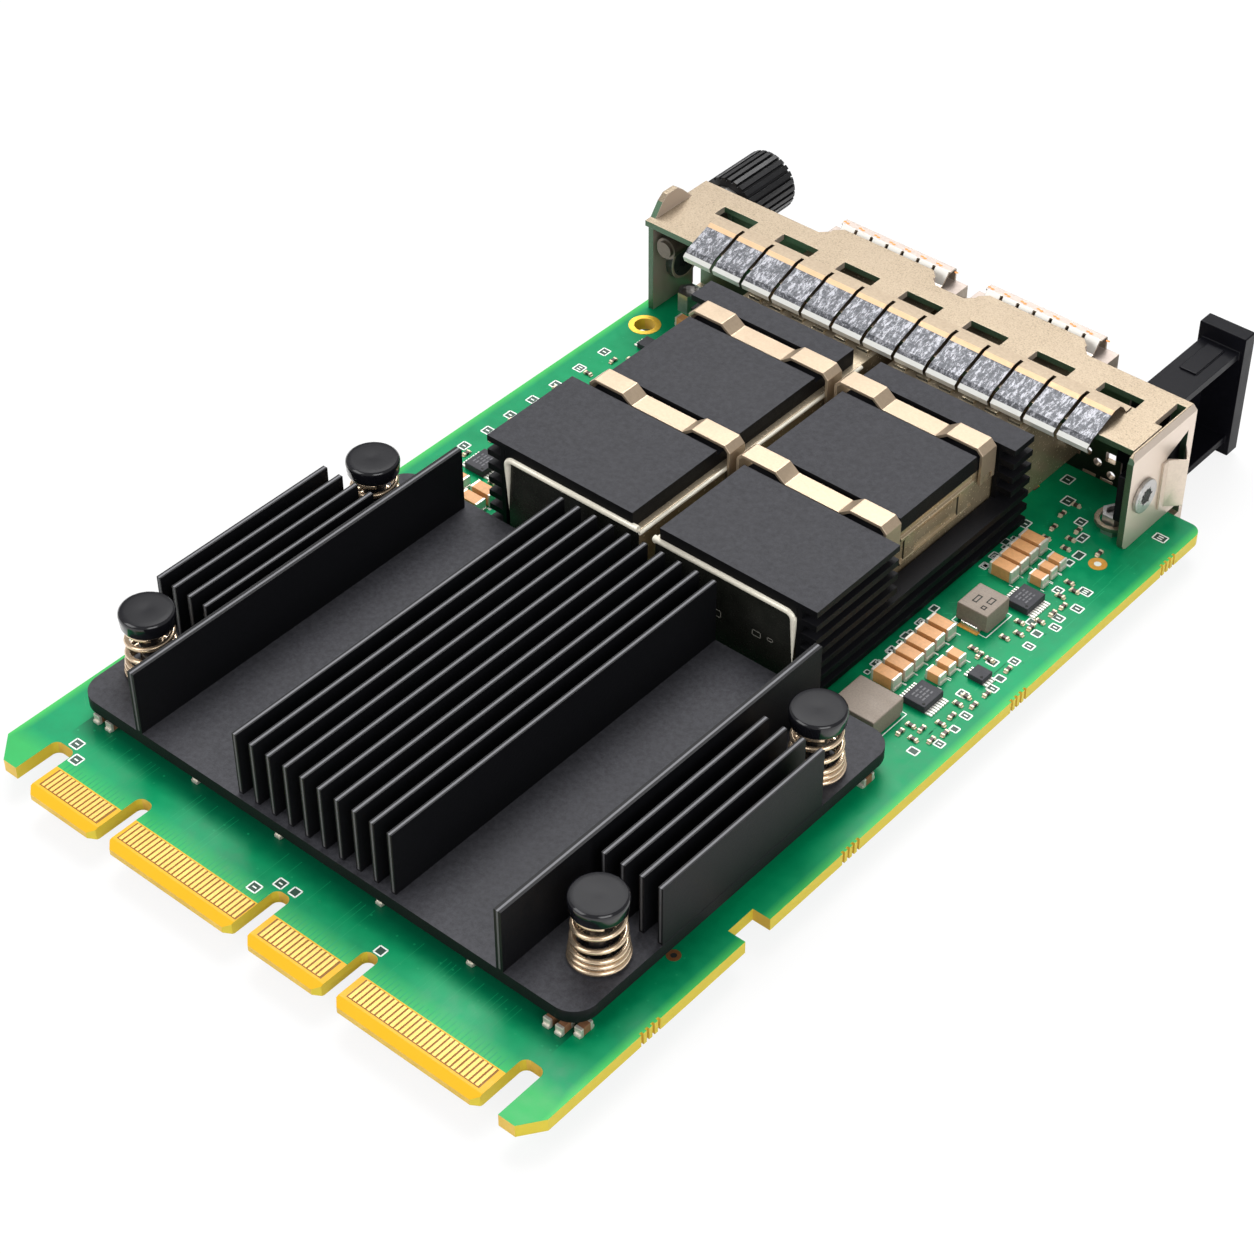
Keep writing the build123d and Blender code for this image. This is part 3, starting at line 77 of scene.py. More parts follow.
# Middle and half width of each group of contacts, in the shared frame.
CONTACT_GROUPS = ((25.45, 4.35), (9.6, 8.5), (-6.2, 4.35), (-22.4, 8.5))
CAGE_REAR = -61.65
CAGE_SIDE = 22
COLLAR_TOP = 12.6
COLLAR_BAND = -119.95
COLLAR_PITCH = 2.28
# The finger strip from its ridge to its lip.
RIDGE_START = -107.35
RIDGE_END = -106.7
LIP_START = -102.72
# Height of flat marks above the surface that carries them.
PRINT_LIFT = 0.006
ETCH_LIFT = 0.012


def at(x, y, z):
    """Point of the card in the shared frame."""
    return (Vector((x, y, z)) + SHIFT) * MM


def along(y):
    """Place along the card in the shared frame."""
    return (y + SHIFT.y) * MM


def level(z):
    """Height above the board's top in the shared frame."""
    return (z + SHIFT.z) * MM


# Materials

def node_of(tree, kind, **inputs):
    """New shader node with its inputs set."""
    node = tree.nodes.new(kind)
    for name, value in inputs.items():
        node.inputs[name.replace("_", " ")].default_value = value
    return node


class Shade:
    """Principled material with a small set of helpers."""

    def __init__(self, name, color, rough, metal=0.0, spec=0.5):
        self.mat = bpy.data.materials.new(name)
        self.mat.use_nodes = True
        self.tree = self.mat.node_tree
        self.shader = self.tree.nodes["Principled BSDF"]
        self.set("Base Color", (*color, 1))
        self.set("Roughness", rough)
        self.set("Metallic", metal)
        self.set("Specular IOR Level", spec)
        self.mat.diffuse_color = (*color, 1)
        self.place = self.tree.nodes.new("ShaderNodeTexCoord").outputs["Object"]

    def set(self, name, value):
        self.shader.inputs[name].default_value = value

    def link(self, out, into):
        self.tree.links.new(out, into)

    def noise(self, scale, detail=3.0, rough=0.6, stretch=(1, 1, 1)):
        """Noise over the object's own place."""
        mapping = self.tree.nodes.new("ShaderNodeMapping")
        mapping.inputs["Scale"].default_value = stretch
        self.link(self.place, mapping.inputs["Vector"])
        noise = node_of(self.tree, "ShaderNodeTexNoise", Scale=scale, Detail=detail, Roughness=rough)
        self.link(mapping.outputs["Vector"], noise.inputs["Vector"])
        return noise.outputs["Fac"]

    def ramp(self, value, stops):
        """Colour from a few (place, colour) stops."""
        ramp = self.tree.nodes.new("ShaderNodeValToRGB")
        elements = ramp.color_ramp.elements
        while len(elements) < len(stops):
            elements.new(0.5)
        for element, (place, color) in zip(elements, stops):
            element.position = place
            element.color = (*color, 1)
        self.link(value, ramp.inputs["Fac"])
        return ramp.outputs["Color"]

    def grey(self, value, low, high, start=0.3, end=0.7):
        """Number from low to high as the value goes from start to end."""
        node = self.tree.nodes.new("ShaderNodeMapRange")
        for name, number in (("From Min", start), ("From Max", end), ("To Min", low), ("To Max", high)):
            node.inputs[name].default_value = number
        self.link(value, node.inputs["Value"])
        return node.outputs["Result"]

    def mix(self, factor, a, b):
        """Colour a where the factor is 0, colour b where it is 1."""
        node = self.tree.nodes.new("ShaderNodeMix")
        node.data_type = "RGBA"
        for value, socket in ((factor, 0), (a, 6), (b, 7)):
            if isinstance(value, bpy.types.NodeSocket):
                self.link(value, node.inputs[socket])
            elif socket == 0:
                node.inputs[0].default_value = value
            else:
                node.inputs[socket].default_value = (*value, 1)
        return node.outputs[2]

    def math(self, kind, a, b=0.0):
        """One sum on sockets or numbers."""
        node = self.tree.nodes.new("ShaderNodeMath")
        node.operation = kind
        for i, value in enumerate((a, b)):
            if isinstance(value, bpy.types.NodeSocket):
                self.link(value, node.inputs[i])
            else:
                node.inputs[i].default_value = value
        return node.outputs[0]

    def times(self, a, b):
        return self.math("MULTIPLY", a, b)

    def xyz(self):
        """Place on the object."""
        node = self.tree.nodes.new("ShaderNodeSeparateXYZ")
        self.link(self.place, node.inputs[0])
        return node.outputs

    def normal(self):
        """Way that the surface faces."""
        node = self.tree.nodes.new("ShaderNodeSeparateXYZ")
        self.link(self.tree.nodes.new("ShaderNodeNewGeometry").outputs["Normal"], node.inputs[0])
        return node.outputs

    def between(self, value, low, high):
        """One where the value lies between two limits."""
        return self.times(self.math("GREATER_THAN", value, low), self.math("LESS_THAN", value, high))

    def color(self, out):
        self.link(out, self.shader.inputs["Base Color"])

    def rough(self, out):
        self.link(out, self.shader.inputs["Roughness"])

    def bump(self, height, strength):
        """Relief from a height of up to a tenth of a millimetre."""
        node = node_of(self.tree, "ShaderNodeBump", Strength=strength, Distance=0.1 * MM)
        self.link(height, node.inputs["Height"])
        self.link(node.outputs["Normal"], self.shader.inputs["Normal"])


def fin_highlight_lines(shade, x):
    """One along the middle of each fin and wall of the main heat sink, where the painted highlight goes."""
    across = shade.math("SUBTRACT", shade.times(x, 1 / MM), SHIFT.x)
    off = shade.math("ABSOLUTE", across)

    def middles(value, pitch):
        return shade.between(shade.math("FRACT", shade.math("DIVIDE", value, pitch)), 0.45, 0.55)

    centre = shade.times(middles(across, CENTRE_FIN_PITCH), shade.math("LESS_THAN", off, CENTRE_FIN_REACH))
    outer_start = OUTER_FIN_FIRST - OUTER_FIN_PITCH / 2
    outer_off = shade.math("SUBTRACT", off, outer_start)
    outer = shade.times(middles(outer_off, OUTER_FIN_PITCH), shade.math("GREATER_THAN", off, OUTER_FIN_LIMIT))
    wall = shade.between(off, SINK_WALL - FIN_HIGHLIGHT_HALF, SINK_WALL + FIN_HIGHLIGHT_HALF)
    return shade.math("MAXIMUM", wall, shade.math("MAXIMUM", centre, outer))


def anodised(name, flat_tone, side_tone, top_level, has_fins):
    """Black anodised aluminium: grained flats lighter than the near-black walls, partly from their finish and
    partly as painted light from above; painted highlights on the fin tops, painted shade on the cover's lower
    flats.
    """
    shade = Shade(name, (side_tone, side_tone, side_tone * 1.06), 0.5, spec=0.14)
    x, _, z = shade.xyz()
    _, ny, nz = shade.normal()
    fine = shade.noise(7000, 4, 0.7)
    leather = shade.noise(1900, 3, 0.6)
    cloud = shade.noise(60, 2)
    grain = shade.math("ADD", shade.times(fine, 0.5), shade.times(leather, 0.5))

    def tint(tone, red, green, blue):
        return (tone * red, tone * green, tone * blue)

    flat = shade.ramp(grain, [(0.36, tint(flat_tone, 0.62, 0.62, 0.74)),
                              (0.62, tint(flat_tone, 1.30, 1.30, 1.52))])
    flat = shade.mix(shade.grey(cloud, 0.0, 0.22), flat, tint(flat_tone, 1.35, 1.35, 1.45))
    side = shade.ramp(fine, [(0.3, tint(side_tone, 0.7, 0.7, 0.7)), (0.7, tint(side_tone, 1.25, 1.3, 1.75))])
    high = shade.math("GREATER_THAN", z, top_level)
    if has_fins:
        fin_highlights = fin_highlight_lines(shade, x)
        # Painted highlight: a pale line along the middle of each fin top, the rest of the top near-black.
        top = shade.mix(fin_highlights, (0.012, 0.012, 0.013), (0.15, 0.15, 0.16))
        flat = shade.mix(high, flat, top)
        # Painted highlight on the front ends of the fins and walls, along the same lines.
        above_plate = shade.math("GREATER_THAN", z, level(PLATE_TOP + 0.18))
        front = shade.times(shade.grey(ny, 0.0, 1.0, 0.6, 0.9), shade.times(fin_highlights, above_plate))
        side = shade.mix(front, side, (0.085, 0.085, 0.09))
    else:
        # Painted shade: flats below the cover's fin tops are near-black.
        flat = shade.mix(high, (0.009, 0.009, 0.011), flat)
    # Flats are lighter than the walls partly from their finish and partly as painted light from above.
    flat_finish_and_light = shade.grey(nz, 0.0, 1.0, 0.25, 0.95)
    shade.color(shade.mix(flat_finish_and_light, side, flat))
    shade.rough(shade.grey(fine, 0.44, 0.58))
    shade.bump(grain, 0.30)
    return shade


def grained(name, color, rough, metal, grain, strength, spread, spec):
    """Plain material with fine grain in colour, roughness and bump."""
    shade = Shade(name, color, rough, metal, spec)
    fine = shade.noise(grain, 4)
    dark = tuple(c * (1 - spread) for c in color)
    light = tuple(min(1, c * (1 + spread)) for c in color)
    shade.color(shade.ramp(fine, [(0.3, dark), (0.7, light)]))
    shade.rough(shade.grey(shade.noise(grain / 8, 3), rough * 0.9, min(1, rough * 1.12)))
    shade.bump(fine, strength)
    return shade


def mask_color(shade, x, from_front, mottled):
    """Green mask, lighter toward the long edges and the tabs."""
    slow = shade.noise(55, 3, 0.6)
    green = shade.ramp(slow, [(0.3, (0.0, 0.17, 0.068)), (0.55, (0.0, 0.24, 0.09)),
                              (0.75, (0.0, 0.30, 0.11))])
    green = shade.mix(shade.grey(mottled, 0.0, 0.25), green, (0.0, 0.34, 0.13))
    off = shade.math("ABSOLUTE", shade.math("SUBTRACT", x, SHIFT.x * MM))
    from_side = shade.math("SUBTRACT", BOARD_HALF_WIDTH * MM, off)
    side_glow = shade.grey(from_side, 1.0, 0.0, 0.0, SIDE_GLOW * MM)
    front_glow = shade.grey(from_front, 0.55, 0.0, TAB_DEPTH * MM, (TAB_DEPTH + FRONT_GLOW) * MM)
    glow = shade.math("MAXIMUM", side_glow, front_glow)
    return shade.mix(shade.times(glow, 0.75), green, (0.07, 0.52, 0.09))


def tab_color(shade, x, from_front):
    """Bare gold of the tabs, with brown gaps between the contacts."""
    strip = shade.between(from_front, CONTACT_STRIP[0] * MM, CONTACT_STRIP[1] * MM)
    groups = None
    for middle, half in CONTACT_GROUPS:
        inside = shade.between(x, (middle - half) * MM, (middle + half) * MM)
        groups = inside if groups is None else shade.math("ADD", groups, inside)
    return shade.mix(shade.times(strip, groups), (0.68, 0.37, 0.016), (0.22, 0.10, 0.014))


def board_material():
    """Green mask on top, yellow edges, bare tabs, and a painted shadow below the heat sink's front."""
    shade = Shade("board_green", (0.0, 0.16, 0.06), 0.38, spec=0.13)
    x, y, _ = shade.xyz()
    nx, _, nz = shade.normal()
    mottled = shade.noise(700, 2)
    from_front = shade.math("SUBTRACT", along(0), y)
    on_tabs = shade.times(shade.math("LESS_THAN", from_front, TAB_DEPTH * MM),
                          shade.between(x, TAB_SIDES[0] * MM, TAB_SIDES[1] * MM))
    top = shade.mix(on_tabs, mask_color(shade, x, from_front, mottled), tab_color(shade, x, from_front))
    edge_noise = shade.noise(260, 2, 0.5, (1, 1, 0.5))
    edge = shade.ramp(edge_noise, [(0.3, (0.57, 0.37, 0.055)), (0.7, (0.67, 0.45, 0.08))])
    edge = shade.mix(shade.math("LESS_THAN", nx, -0.6), edge, (0.60, 0.48, 0.045))
    flat = shade.math("GREATER_THAN", shade.math("ABSOLUTE", nz), 0.5)
    # Painted shadow: a dark green band on the board below the front of the heat sink's plate.
    band_rear, fade_start, fade_end = (along(place) for place in SINK_SHADOW_BAND)
    sink_shadow_area = shade.times(shade.math("LESS_THAN", shade.math("ABSOLUTE", x), PLATE_HALF_WIDTH * MM),
                              shade.math("GREATER_THAN", y, band_rear))
    sink_shadow = shade.times(shade.grey(y, 1.0, 0.0, fade_start, fade_end), sink_shadow_area)
    shade.color(shade.mix(shade.times(sink_shadow, 0.75), shade.mix(flat, edge, top), (0.001, 0.05, 0.028)))
    shade.rough(shade.grey(mottled, 0.28, 0.42))
    shade.bump(shade.noise(2600, 3), 0.06)
    return shade


def finger_material():
    """Bright spring sheet: a warm painted highlight along the ridge, mottled and scratched on the slope, a
    pale painted highlight at the lip, and painted shade on the cut sides between the fingers.
    """
    shade = Shade("finger_spring", (0.4, 0.38, 0.36), 0.40, 0.45, spec=0.3)
    y = shade.xyz()[1]
    nx = shade.normal()[0]
    blotch = shade.noise(2400, 5, 0.7)
    scratch = shade.noise(2300, 4, 0.8, (1.0, 0.2, 1.0))
    blotched = shade.ramp(blotch, [(0.40, (0.05, 0.052, 0.058)), (0.52, (0.10, 0.104, 0.115)),
                                   (0.60, (0.26, 0.265, 0.29))])
    scratched = shade.ramp(scratch, [(0.46, (0.05, 0.052, 0.058)), (0.53, (0.10, 0.10, 0.11)),
                                     (0.56, (0.42, 0.42, 0.45))])
    color = shade.ramp(shade.noise(2500, 3), [(0.3, (0.30, 0.235, 0.165)), (0.7, (0.37, 0.295, 0.21))])
    # Painted highlight: a warm band along the ridge, where the curve catches the light.
    ridge = shade.between(y, along(RIDGE_START), along(RIDGE_END))
    color = shade.mix(ridge, color, (0.50, 0.34, 0.20))
    slope = shade.between(y, along(RIDGE_END), along(LIP_START))
    color = shade.mix(slope, color, shade.mix(0.55, blotched, scratched))
    # Painted highlight: the rounded lip is near-white.
    lip = shade.math("GREATER_THAN", y, along(LIP_START))
    color = shade.mix(lip, color, (0.60, 0.60, 0.57))
    # Painted shade: the cut sides of the fingers are dark brown, standing for the shade in the gaps between
    # them.
    gap_shade_side = shade.math("GREATER_THAN", shade.math("ABSOLUTE", nx), 0.7)
    shade.color(shade.mix(gap_shade_side, color, (0.03, 0.02, 0.012)))
    shade.rough(shade.grey(blotch, 0.30, 0.55))
    shade.bump(blotch, 0.14)
    return shade


def bracket_material():
    """Speckled plated sheet; painted light makes it paler on the faces toward its near end, and the side
    toward the board carries a painted reflection of its green.
    """
    shade = Shade("bracket_plate", (0.4, 0.32, 0.24), 0.38, 0.62)
    nx, ny, _ = shade.normal()
    speck = shade.noise(5200, 3, 0.7)
    cloud = shade.noise(160, 3)
    color = shade.ramp(speck, [(0.34, (0.20, 0.155, 0.105)), (0.46, (0.31, 0.245, 0.17)),
                               (0.66, (0.39, 0.315, 0.225))])
    color = shade.mix(shade.grey(cloud, 0.0, 0.3), color, (0.40, 0.325, 0.24))
    # Painted light: faces toward the near end are pale cream.
    lit_outer_side = shade.math("LESS_THAN", nx, -0.6)
    color = shade.mix(shade.times(lit_outer_side, 0.85), color, (0.74, 0.63, 0.54))
    # Painted reflection: the side toward the board is dark green, as the board mirrored in it.
    inner = shade.math("GREATER_THAN", ny, 0.6)
    shade.color(shade.mix(shade.times(inner, 0.85), color, (0.012, 0.085, 0.045)))
    shade.rough(shade.grey(speck, 0.30, 0.46))
    shade.bump(speck, 0.06)
    return shade


def cage_material():
    """Cage sheet, warm brown on the sides; painted light makes it pale where it faces up, and painted shade
    makes the rear wall dark olive.
    """
    shade = Shade("cage_sheet", (0.3, 0.24, 0.16), 0.3, 0.6)
    _, ny, nz = shade.normal()
    fine = shade.noise(2600, 4)
    cloud = shade.noise(120, 3)
    side = shade.ramp(cloud, [(0.3, (0.34, 0.26, 0.155)), (0.7, (0.54, 0.44, 0.29))])
    rear = shade.ramp(cloud, [(0.35, (0.022, 0.024, 0.019)), (0.7, (0.07, 0.07, 0.058))])
    # Painted shade: the rear wall is dark olive.
    color = shade.mix(shade.grey(ny, 0.0, 1.0, 0.5, 0.8), side, rear)
    # Painted light: faces that point up are pale.
    shade.color(shade.mix(shade.grey(nz, 0.0, 1.0, 0.3, 0.8), color, (0.58, 0.48, 0.34)))
    shade.rough(shade.grey(fine, 0.24, 0.28))
    shade.bump(fine, 0.01)
    return shade


def collar_material():
    """Collar sheet: painted light makes the band on top pale and the slopes near-white."""
    shade = Shade("collar_sheet", (0.5, 0.44, 0.38), 0.36, 0.45)
    nx, _, nz = shade.normal()
    fine = shade.noise(2600, 4)
    plain = shade.ramp(fine, [(0.3, (0.30, 0.25, 0.19)), (0.7, (0.40, 0.33, 0.26))])
    top = shade.ramp(fine, [(0.3, (0.43, 0.36, 0.32)), (0.7, (0.52, 0.44, 0.39))])
    # Painted light: the band on top is paler.
    color = shade.mix(shade.grey(nz, 0.0, 1.0, 0.9, 0.97), plain, top)
    # Painted light: the slopes are near-white.
    facing_out = shade.math("LESS_THAN", shade.math("ABSOLUTE", nx), 0.2)
    slope = shade.times(shade.between(nz, 0.35, 0.97), facing_out)
    shade.color(shade.mix(slope, color, (0.62, 0.60, 0.56)))
    shade.bump(fine, 0.06)
    return shade


# Plain materials: name, colour, roughness, metal, grain, bump strength, spread of tone, specular level.
PLAIN_MATERIALS = {
    "gold": ("contact_gold", (0.74, 0.42, 0.075), 0.42, 0.2, 3000, 0.04, 0.08, 0.5),
    "ring_gold": ("ring_gold", (0.90, 0.56, 0.06), 0.32, 0.55, 3000, 0.04, 0.08, 0.5),
    "chip": ("chip_black", (0.028, 0.028, 0.034), 0.55, 0.0, 7000, 0.12, 0.2, 0.3),
    "pad": ("pad_grey", (0.42, 0.43, 0.45), 0.8, 0.0, 3000, 0.15, 0.12, 0.5),
    "cap_black": ("pin_cap_black", (0.006, 0.006, 0.008), 0.14, 0.0, 2500, 0.01, 0.1, 0.5),
    "wire": ("spring_wire", (0.70, 0.54, 0.38), 0.26, 0.85, 900, 0.01, 0.05, 0.5),
    # Near-white cream as a painted highlight along the cages' rims.
    "rim": ("cage_rim_highlight", (0.97, 0.90, 0.76), 0.22, 0.1, 2600, 0.02, 0.06, 0.5),
    "leaf": ("leaf_sheet", (0.64, 0.54, 0.45), 0.32, 0.45, 2600, 0.04, 0.06, 0.5),
    "dark_steel": ("dark_steel", (0.11, 0.095, 0.075), 0.34, 0.6, 2500, 0.05, 0.12, 0.5),
    "cap_top": ("pin_cap_top", (0.009, 0.009, 0.011), 0.34, 0.0, 1500, 0.02, 0.08, 0.1),
    "lead": ("chip_lead", (0.80, 0.78, 0.72), 0.34, 0.25, 2500, 0.03, 0.12, 0.5),
    "part_end": ("part_end", (0.66, 0.55, 0.40), 0.34, 0.3, 2500, 0.05, 0.12, 0.5),
    "part_body": ("part_body", (0.045, 0.028, 0.018), 0.42, 0.0, 2500, 0.05, 0.2, 0.5),
    "chip_print": ("chip_print", (0.085, 0.085, 0.095), 0.5, 0.0, 2500, 0.03, 0.12, 0.5),
    "via_brown": ("via_brown", (0.26, 0.11, 0.04), 0.34, 0.4, 2500, 0.05, 0.12, 0.5),
    "mask_dark": ("mask_dark", (0.004, 0.045, 0.024), 0.5, 0.0, 2500, 0.03, 0.12, 0.5),
    "clip": ("clip_sheet", (0.42, 0.325, 0.23), 0.34, 0.6, 3000, 0.05, 0.06, 0.5),
    "steel": ("plain_steel", (0.44, 0.43, 0.42), 0.30, 0.9, 2500, 0.05, 0.12, 0.5),
    "boss": ("boss_dark", (0.10, 0.11, 0.11), 0.3, 0.6, 2500, 0.05, 0.12, 0.5),
    "connector": ("connector_black", (0.02, 0.02, 0.02), 0.5, 0.0, 3000, 0.1, 0.12, 0.5),
    "knob": ("knob_black", (0.007, 0.007, 0.008), 0.38, 0.0, 2600, 0.08, 0.2, 0.35),
    "tab": ("tab_black", (0.0048, 0.0048, 0.0068), 0.36, 0.0, 2600, 0.08, 0.15, 0.1),
    "powder": ("inductor_grey", (0.215, 0.175, 0.14), 0.55, 0.15, 5200, 0.12, 0.14, 0.5),
    "tan": ("ceramic_tan", (0.62, 0.30, 0.11), 0.42, 0.0, 2500, 0.05, 0.1, 0.5),
    "brown": ("ceramic_brown", (0.23, 0.11, 0.055), 0.45, 0.0, 2500, 0.05, 0.15, 0.5),
    "tin": ("tinned_end", (0.74, 0.70, 0.62), 0.30, 0.55, 2500, 0.04, 0.08, 0.5),
    "solder": ("solder", (0.72, 0.70, 0.66), 0.24, 0.85, 1800, 0.12, 0.1, 0.5),
    "ink": ("marking_white", (0.78, 0.84, 0.78), 0.5, 0.0, 5000, 0.05, 0.06, 0.5),
    "trace": ("trace_green", (0.006, 0.27, 0.105), 0.36, 0.0, 900, 0.03, 0.1, 0.15),
    "pad_copper": ("pad_copper", (0.66, 0.32, 0.045), 0.34, 0.2, 2500, 0.05, 0.12, 0.5),
    "copper_spot": ("copper_spot", (0.86, 0.24, 0.03), 0.5, 0.0, 2500, 0.05, 0.12, 0.5),
    "etched": ("etched_mark", (0.36, 0.34, 0.30), 0.5, 0.2, 2500, 0.05, 0.12, 0.5),
    "hole_dark": ("hole_dark", (0.01, 0.012, 0.01), 0.7, 0.0, 2500, 0.05, 0.12, 0.5),
}


def build_materials():
    """All materials by name."""
    made = {key: grained(*row) for key, row in PLAIN_MATERIALS.items()}
    made["board"] = board_material()
    made["black"] = anodised("anodised_black", 0.038, 0.0052, level(FIN_TOP), True)
    made["black_cover"] = anodised("anodised_cover", 0.030, 0.0032, level(COVER_FIN_TOP), False)
    made["cage"] = cage_material()
    made["collar"] = collar_material()
    made["bracket"] = bracket_material()
    made["finger"] = finger_material()
    return {name: shade.mat for name, shade in made.items()}


MAT = build_materials()
NODE_MATERIALS = {
    "circuit_board": "board", "edge_contacts_top": "gold", "edge_contacts_bottom": "gold",
    "plated_hole_ring": "ring_gold", "main_heat_sink": "black", "controller_chip": "chip",
    "thermal_pad": "pad", "cage_far": "cage", "cage_near": "cage", "cage_connector_far": "connector",
    "cage_connector_near": "connector", "cage_collar_far": "collar", "cage_collar_near": "collar",
    "cage_heat_sink_far": "black_cover", "cage_heat_sink_near": "black_cover", "strap_clips_far": "clip",
    "strap_clips_near": "clip", "bracket": "bracket", "finger_strip": "finger", "side_spring": "leaf",
    "flange_boss": "boss", "thumbscrew_ferrule": "steel", "thumbscrew_knob": "knob",
    "thumbscrew_shaft": "dark_steel", "thumbscrew_ring": "dark_steel", "pull_tab": "tab",
    "pull_tab_screw": "steel", "bracket_nuts": "steel", "bracket_screws": "steel", "push_pins": "cap_black",
    "push_pin_springs": "wire",
    "inductor_small": "powder", "inductor_large": "powder", "large_capacitors": "tan",
    "small_capacitors": "tan", "regulator_chips": "chip", "small_chips": "chip", "chip_passives": "brown",
    "under_sink_capacitors": "tan", "bottom_capacitors": "tan",
}
# Edge rounding in millimetres of the sheet and machined nodes.
EDGE_ROUNDING = {
    "main_heat_sink": 0.09, "cage_heat_sink_far": 0.10, "cage_heat_sink_near": 0.10, "cage_far": 0.10,
    "cage_near": 0.10, "bracket": 0.16, "pull_tab": 0.25, "strap_clips_far": 0.09, "strap_clips_near": 0.09,
    "finger_strip": 0.05, "circuit_board": 0.06, "inductor_small": 0.12, "inductor_large": 0.15,
    "side_spring": 0.08, "cage_collar_far": 0.05, "cage_collar_near": 0.05, "thumbscrew_knob": 0.08,
    "pull_tab_screw": 0.12, "flange_boss": 0.1,
}


def dress_nodes():
    """Materials on all nodes, and softened edges on the sheet and machined ones."""
    for name, obj in NODES.items():
        mat = MAT[NODE_MATERIALS[name]]
        if not obj.material_slots:
            obj.data.materials.append(mat)
        for material_slot in obj.material_slots:
            material_slot.material = mat
        width = EDGE_ROUNDING.get(name)
        if width:
            weld = obj.modifiers.new("weld", "WELD")
            weld.merge_threshold = 0.002 * MM
            bevel = obj.modifiers.new("bevel", "BEVEL")
            bevel.width = width * MM
            bevel.segments = 2
            bevel.limit_method = "ANGLE"
            bevel.angle_limit = math.radians(32)
            bevel.use_clamp_overlap = True
            bevel.harden_normals = True


# Mesh helpers

def new_object(name, mesh, body, slot_name, *replaced):
    """Object from a mesh that rides on a body and may replace nodes."""
    obj = bpy.data.objects.new(name, mesh)
    bpy.context.scene.collection.objects.link(obj)
    if replaced:
        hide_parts(*replaced)
    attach(obj, body)


class Builder:
    """Collects faces with material numbers into one mesh."""

    def __init__(self, *materials):
        self.bm = bmesh.new()
        self.materials = [MAT[m] for m in materials]

    def box(self, low, high, material=0, bevel=0.0):
        """Box between two points in the shared frame."""
        size = high - low
        made = bmesh.ops.create_cube(self.bm, size=1.0)
        verts = made["verts"]
        for vert in verts:
            vert.co = Vector(low[i] + (vert.co[i] + 0.5) * size[i] for i in range(3))
        faces = list({face for vert in verts for face in vert.link_faces})
        for face in faces:
            face.material_index = material
        if bevel:
            edges = list({edge for vert in verts for edge in vert.link_edges})
            bmesh.ops.bevel(self.bm, geom=edges, offset=bevel, segments=2, profile=0.5,
                            affect="EDGES", clamp_overlap=True, material=-1)

    def flat(self, points, material=0):
        """One flat face."""
        face = self.bm.faces.new([self.bm.verts.new(p) for p in points])
        face.material_index = material

    def lathe(self, profile, centre, axis=Vector((0, 0, 1)), sides=48, material=0, smooth=True):
        """Surface of revolution from (radius, height) pairs in metres."""
        turn = Vector((0, 0, 1)).rotation_difference(axis).to_matrix()
        rings = []
        for radius, height in profile:
            if radius == 0:
                rings.append([self.bm.verts.new(centre + turn @ Vector((0, 0, height)))])
                continue
            ring = []
            for i in range(sides):
                a = 2 * math.pi * i / sides
                point = Vector((radius * math.cos(a), radius * math.sin(a), height))
                ring.append(self.bm.verts.new(centre + turn @ point))
            rings.append(ring)
        for a, b in zip(rings, rings[1:]):
            for i in range(sides):
                j = (i + 1) % sides
                corners = [a[i % len(a)], a[j % len(a)], b[j % len(b)], b[i % len(b)]]
                corners = list(dict.fromkeys(corners))
                if len(corners) > 2:
                    face = self.bm.faces.new(corners)
                    face.material_index = material
                    face.smooth = smooth

    def tube(self, points, radius):
        """Round wire along points."""
        sides = 12
        rings = []
        up = Vector((0, 0, 1))
        for i, point in enumerate(points):
            ahead = points[min(i + 1, len(points) - 1)] - points[max(i - 1, 0)]
            ahead.normalize()
            side = ahead.cross(up).normalized()
            over = side.cross(ahead).normalized()
            ring = []
            for k in range(sides):
                a = 2 * math.pi * k / sides
                out = side * radius * math.cos(a) + over * radius * math.sin(a)
                ring.append(self.bm.verts.new(point + out))
            rings.append(ring)
        for a, b in zip(rings, rings[1:]):
            for k in range(sides):
                face = self.bm.faces.new([a[k], a[(k + 1) % sides], b[(k + 1) % sides], b[k]])
                face.smooth = True
        for ring in (rings[0], rings[-1]):
            self.bm.faces.new(ring)

    def finish(self, name, body, slot_name, *replaced):
        """Object from the faces so far."""
        bmesh.ops.recalc_face_normals(self.bm, faces=self.bm.faces)
        mesh = bpy.data.meshes.new(name)
        self.bm.to_mesh(mesh)
        self.bm.free()
        for mat in self.materials:
            mesh.materials.append(mat)
        new_object(name, mesh, body, slot_name, *replaced)


def islands(name):
    """Boxes of the separate solids of a node, in order of y and then x, in the shared frame."""
    mesh = NODES[name].data
    parent = {}

    def find(key):
        """Vertex that stands for the key's solid."""
        while parent[key] != key:
            parent[key] = parent[parent[key]]
            key = parent[key]
        return key

    keys = [tuple(round(c * 1e6) for c in vert.co) for vert in mesh.vertices]
    for key in keys:
        parent.setdefault(key, key)
    for edge in mesh.edges:
        a, b = find(keys[edge.vertices[0]]), find(keys[edge.vertices[1]])
        if a != b:
            parent[a] = b
    boxes = {}
    for key, vert in zip(keys, mesh.vertices):
        root = find(key)
        low, high = boxes.setdefault(root, (Vector(vert.co), Vector(vert.co)))
        for i in range(3):
            low[i] = min(low[i], vert.co[i])
            high[i] = max(high[i], vert.co[i])
    return sorted(boxes.values(), key=lambda b: (round(b[0].y, 6), round(b[0].x, 6)))


